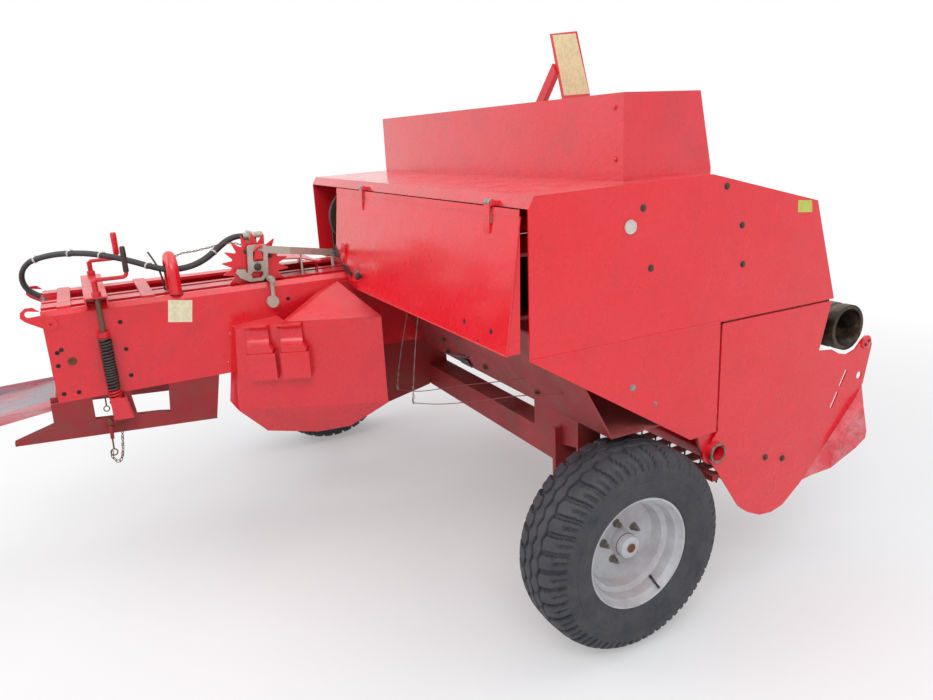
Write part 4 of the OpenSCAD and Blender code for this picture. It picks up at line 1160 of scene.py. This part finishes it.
# A fine round on the edges of sheets and beams
ROUNDED = """chamber_right_wall chamber_left_wall chamber_top_rails tension_frame needle_guard
wheel_chocks hood_roof hood_side_upper hood_side_lower hood_left_side hood_front cover_box
guard_post rear_flap pickup_side_right axle front_frame drawbar feed_trough tension_rail chute
knotter_cover trip_linkage"""
for name in ROUNDED.split():
    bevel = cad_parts[name].modifiers.new("fine_round", "BEVEL")
    bevel.width = 0.0014
    bevel.segments = 2
    bevel.limit_method = "ANGLE"
    bevel.angle_limit = radians(40)


# Floor, backdrop and light

def seen_directly(tree):
    """1 for what the camera sees, also in metal and through glass, 0 for the light on things."""
    path = tree.nodes.new("ShaderNodeLightPath")
    total = path.outputs["Is Camera Ray"]
    for kind in ("Is Glossy Ray", "Is Transmission Ray"):
        add = tree.nodes.new("ShaderNodeMath")
        add.operation = "MAXIMUM"
        tree.links.new(total, add.inputs[0])
        tree.links.new(path.outputs[kind], add.inputs[1])
        total = add.outputs[0]
    return total


def studio_floor():
    """Pale matt ground that keeps the shadow near the machine and fades to white further out."""
    s = Shader("studio_floor")
    s.tree.nodes.remove(s.bsdf)
    diffuse = s.node("BsdfDiffuse")
    s.link(s.mix(s.span(s.noise(0.7, 4), 0.3, 0.7), (0.84, 0.84, 0.85), (0.88, 0.88, 0.89)),
           diffuse.inputs["Color"])
    s.link(s.bump(s.noise(90, 4), 0.1, 0.001), diffuse.inputs["Normal"])
    white = s.node("Emission", Color=(1, 1, 1, 1))
    length = s.node("VectorMath")
    length.operation = "LENGTH"
    s.link(s.place, length.inputs[0])
    far_out = s.span(length.outputs["Value"], 1.6, 4.6, 0.3, 1.0)
    mix = s.node("MixShader", Fac=s.times(far_out, seen_directly(s.tree)))
    s.link(diffuse.outputs[0], mix.inputs[1])
    s.link(white.outputs[0], mix.inputs[2])
    s.link(mix.outputs[0], s.out.inputs[0])
    return s.material


bpy.ops.mesh.primitive_plane_add(size=60, location=(0, 0, 0))
floor = bpy.context.object
floor.name = "floor"
floor.data.materials.append(studio_floor())

scene = bpy.context.scene
scene.view_settings.view_transform = "Standard"


def studio_world():
    """White where it is seen, and a soft light, paler above than below, on the object."""
    world = bpy.data.worlds.new("studio")
    scene.world = world
    world.use_nodes = True
    tree = world.node_tree
    tree.nodes.clear()
    new, link = tree.nodes.new, tree.links.new
    out = new("ShaderNodeOutputWorld")
    mix = new("ShaderNodeMixShader")
    soft = new("ShaderNodeBackground")
    soft.inputs["Strength"].default_value = 0.62
    white = new("ShaderNodeBackground")
    white.inputs["Color"].default_value = (1, 1, 1, 1)
    place = new("ShaderNodeTexCoord")
    split = new("ShaderNodeSeparateXYZ")
    ramp = new("ShaderNodeValToRGB")
    below, above = ramp.color_ramp.elements
    below.position, below.color = 0.0, (0.42, 0.43, 0.45, 1)
    above.position, above.color = 0.55, (0.95, 0.97, 1.0, 1)
    link(place.outputs["Generated"], split.inputs[0])
    link(split.outputs[2], ramp.inputs[0])
    link(ramp.outputs[0], soft.inputs["Color"])
    link(seen_directly(tree), mix.inputs[0])
    link(soft.outputs[0], mix.inputs[1])
    link(white.outputs[0], mix.inputs[2])
    link(mix.outputs[0], out.inputs[0])


studio_world()


def area(name, place, aim, size, power):
    """A soft lamp at place, turned towards aim."""
    light = bpy.data.objects.new(name, bpy.data.lights.new(name, "AREA"))
    light.data.shape = "RECTANGLE"
    light.data.size = size
    light.data.size_y = size * 0.7
    light.data.energy = power
    light.location = place
    light.rotation_euler = (Vector(aim) - Vector(place)).to_track_quat("-Z", "Y").to_euler()
    scene.collection.objects.link(light)


area("key_light", (5.5, -3.5, 6.0), (0.3, 0, 0.9), 5.0, 230)
area("rear_light", (-2.5, -6.0, 4.5), (-0.3, -0.6, 1.0), 5.0, 120)
area("top_light", (0.5, 1.0, 7.0), (0, 0, 0.8), 6.0, 130)
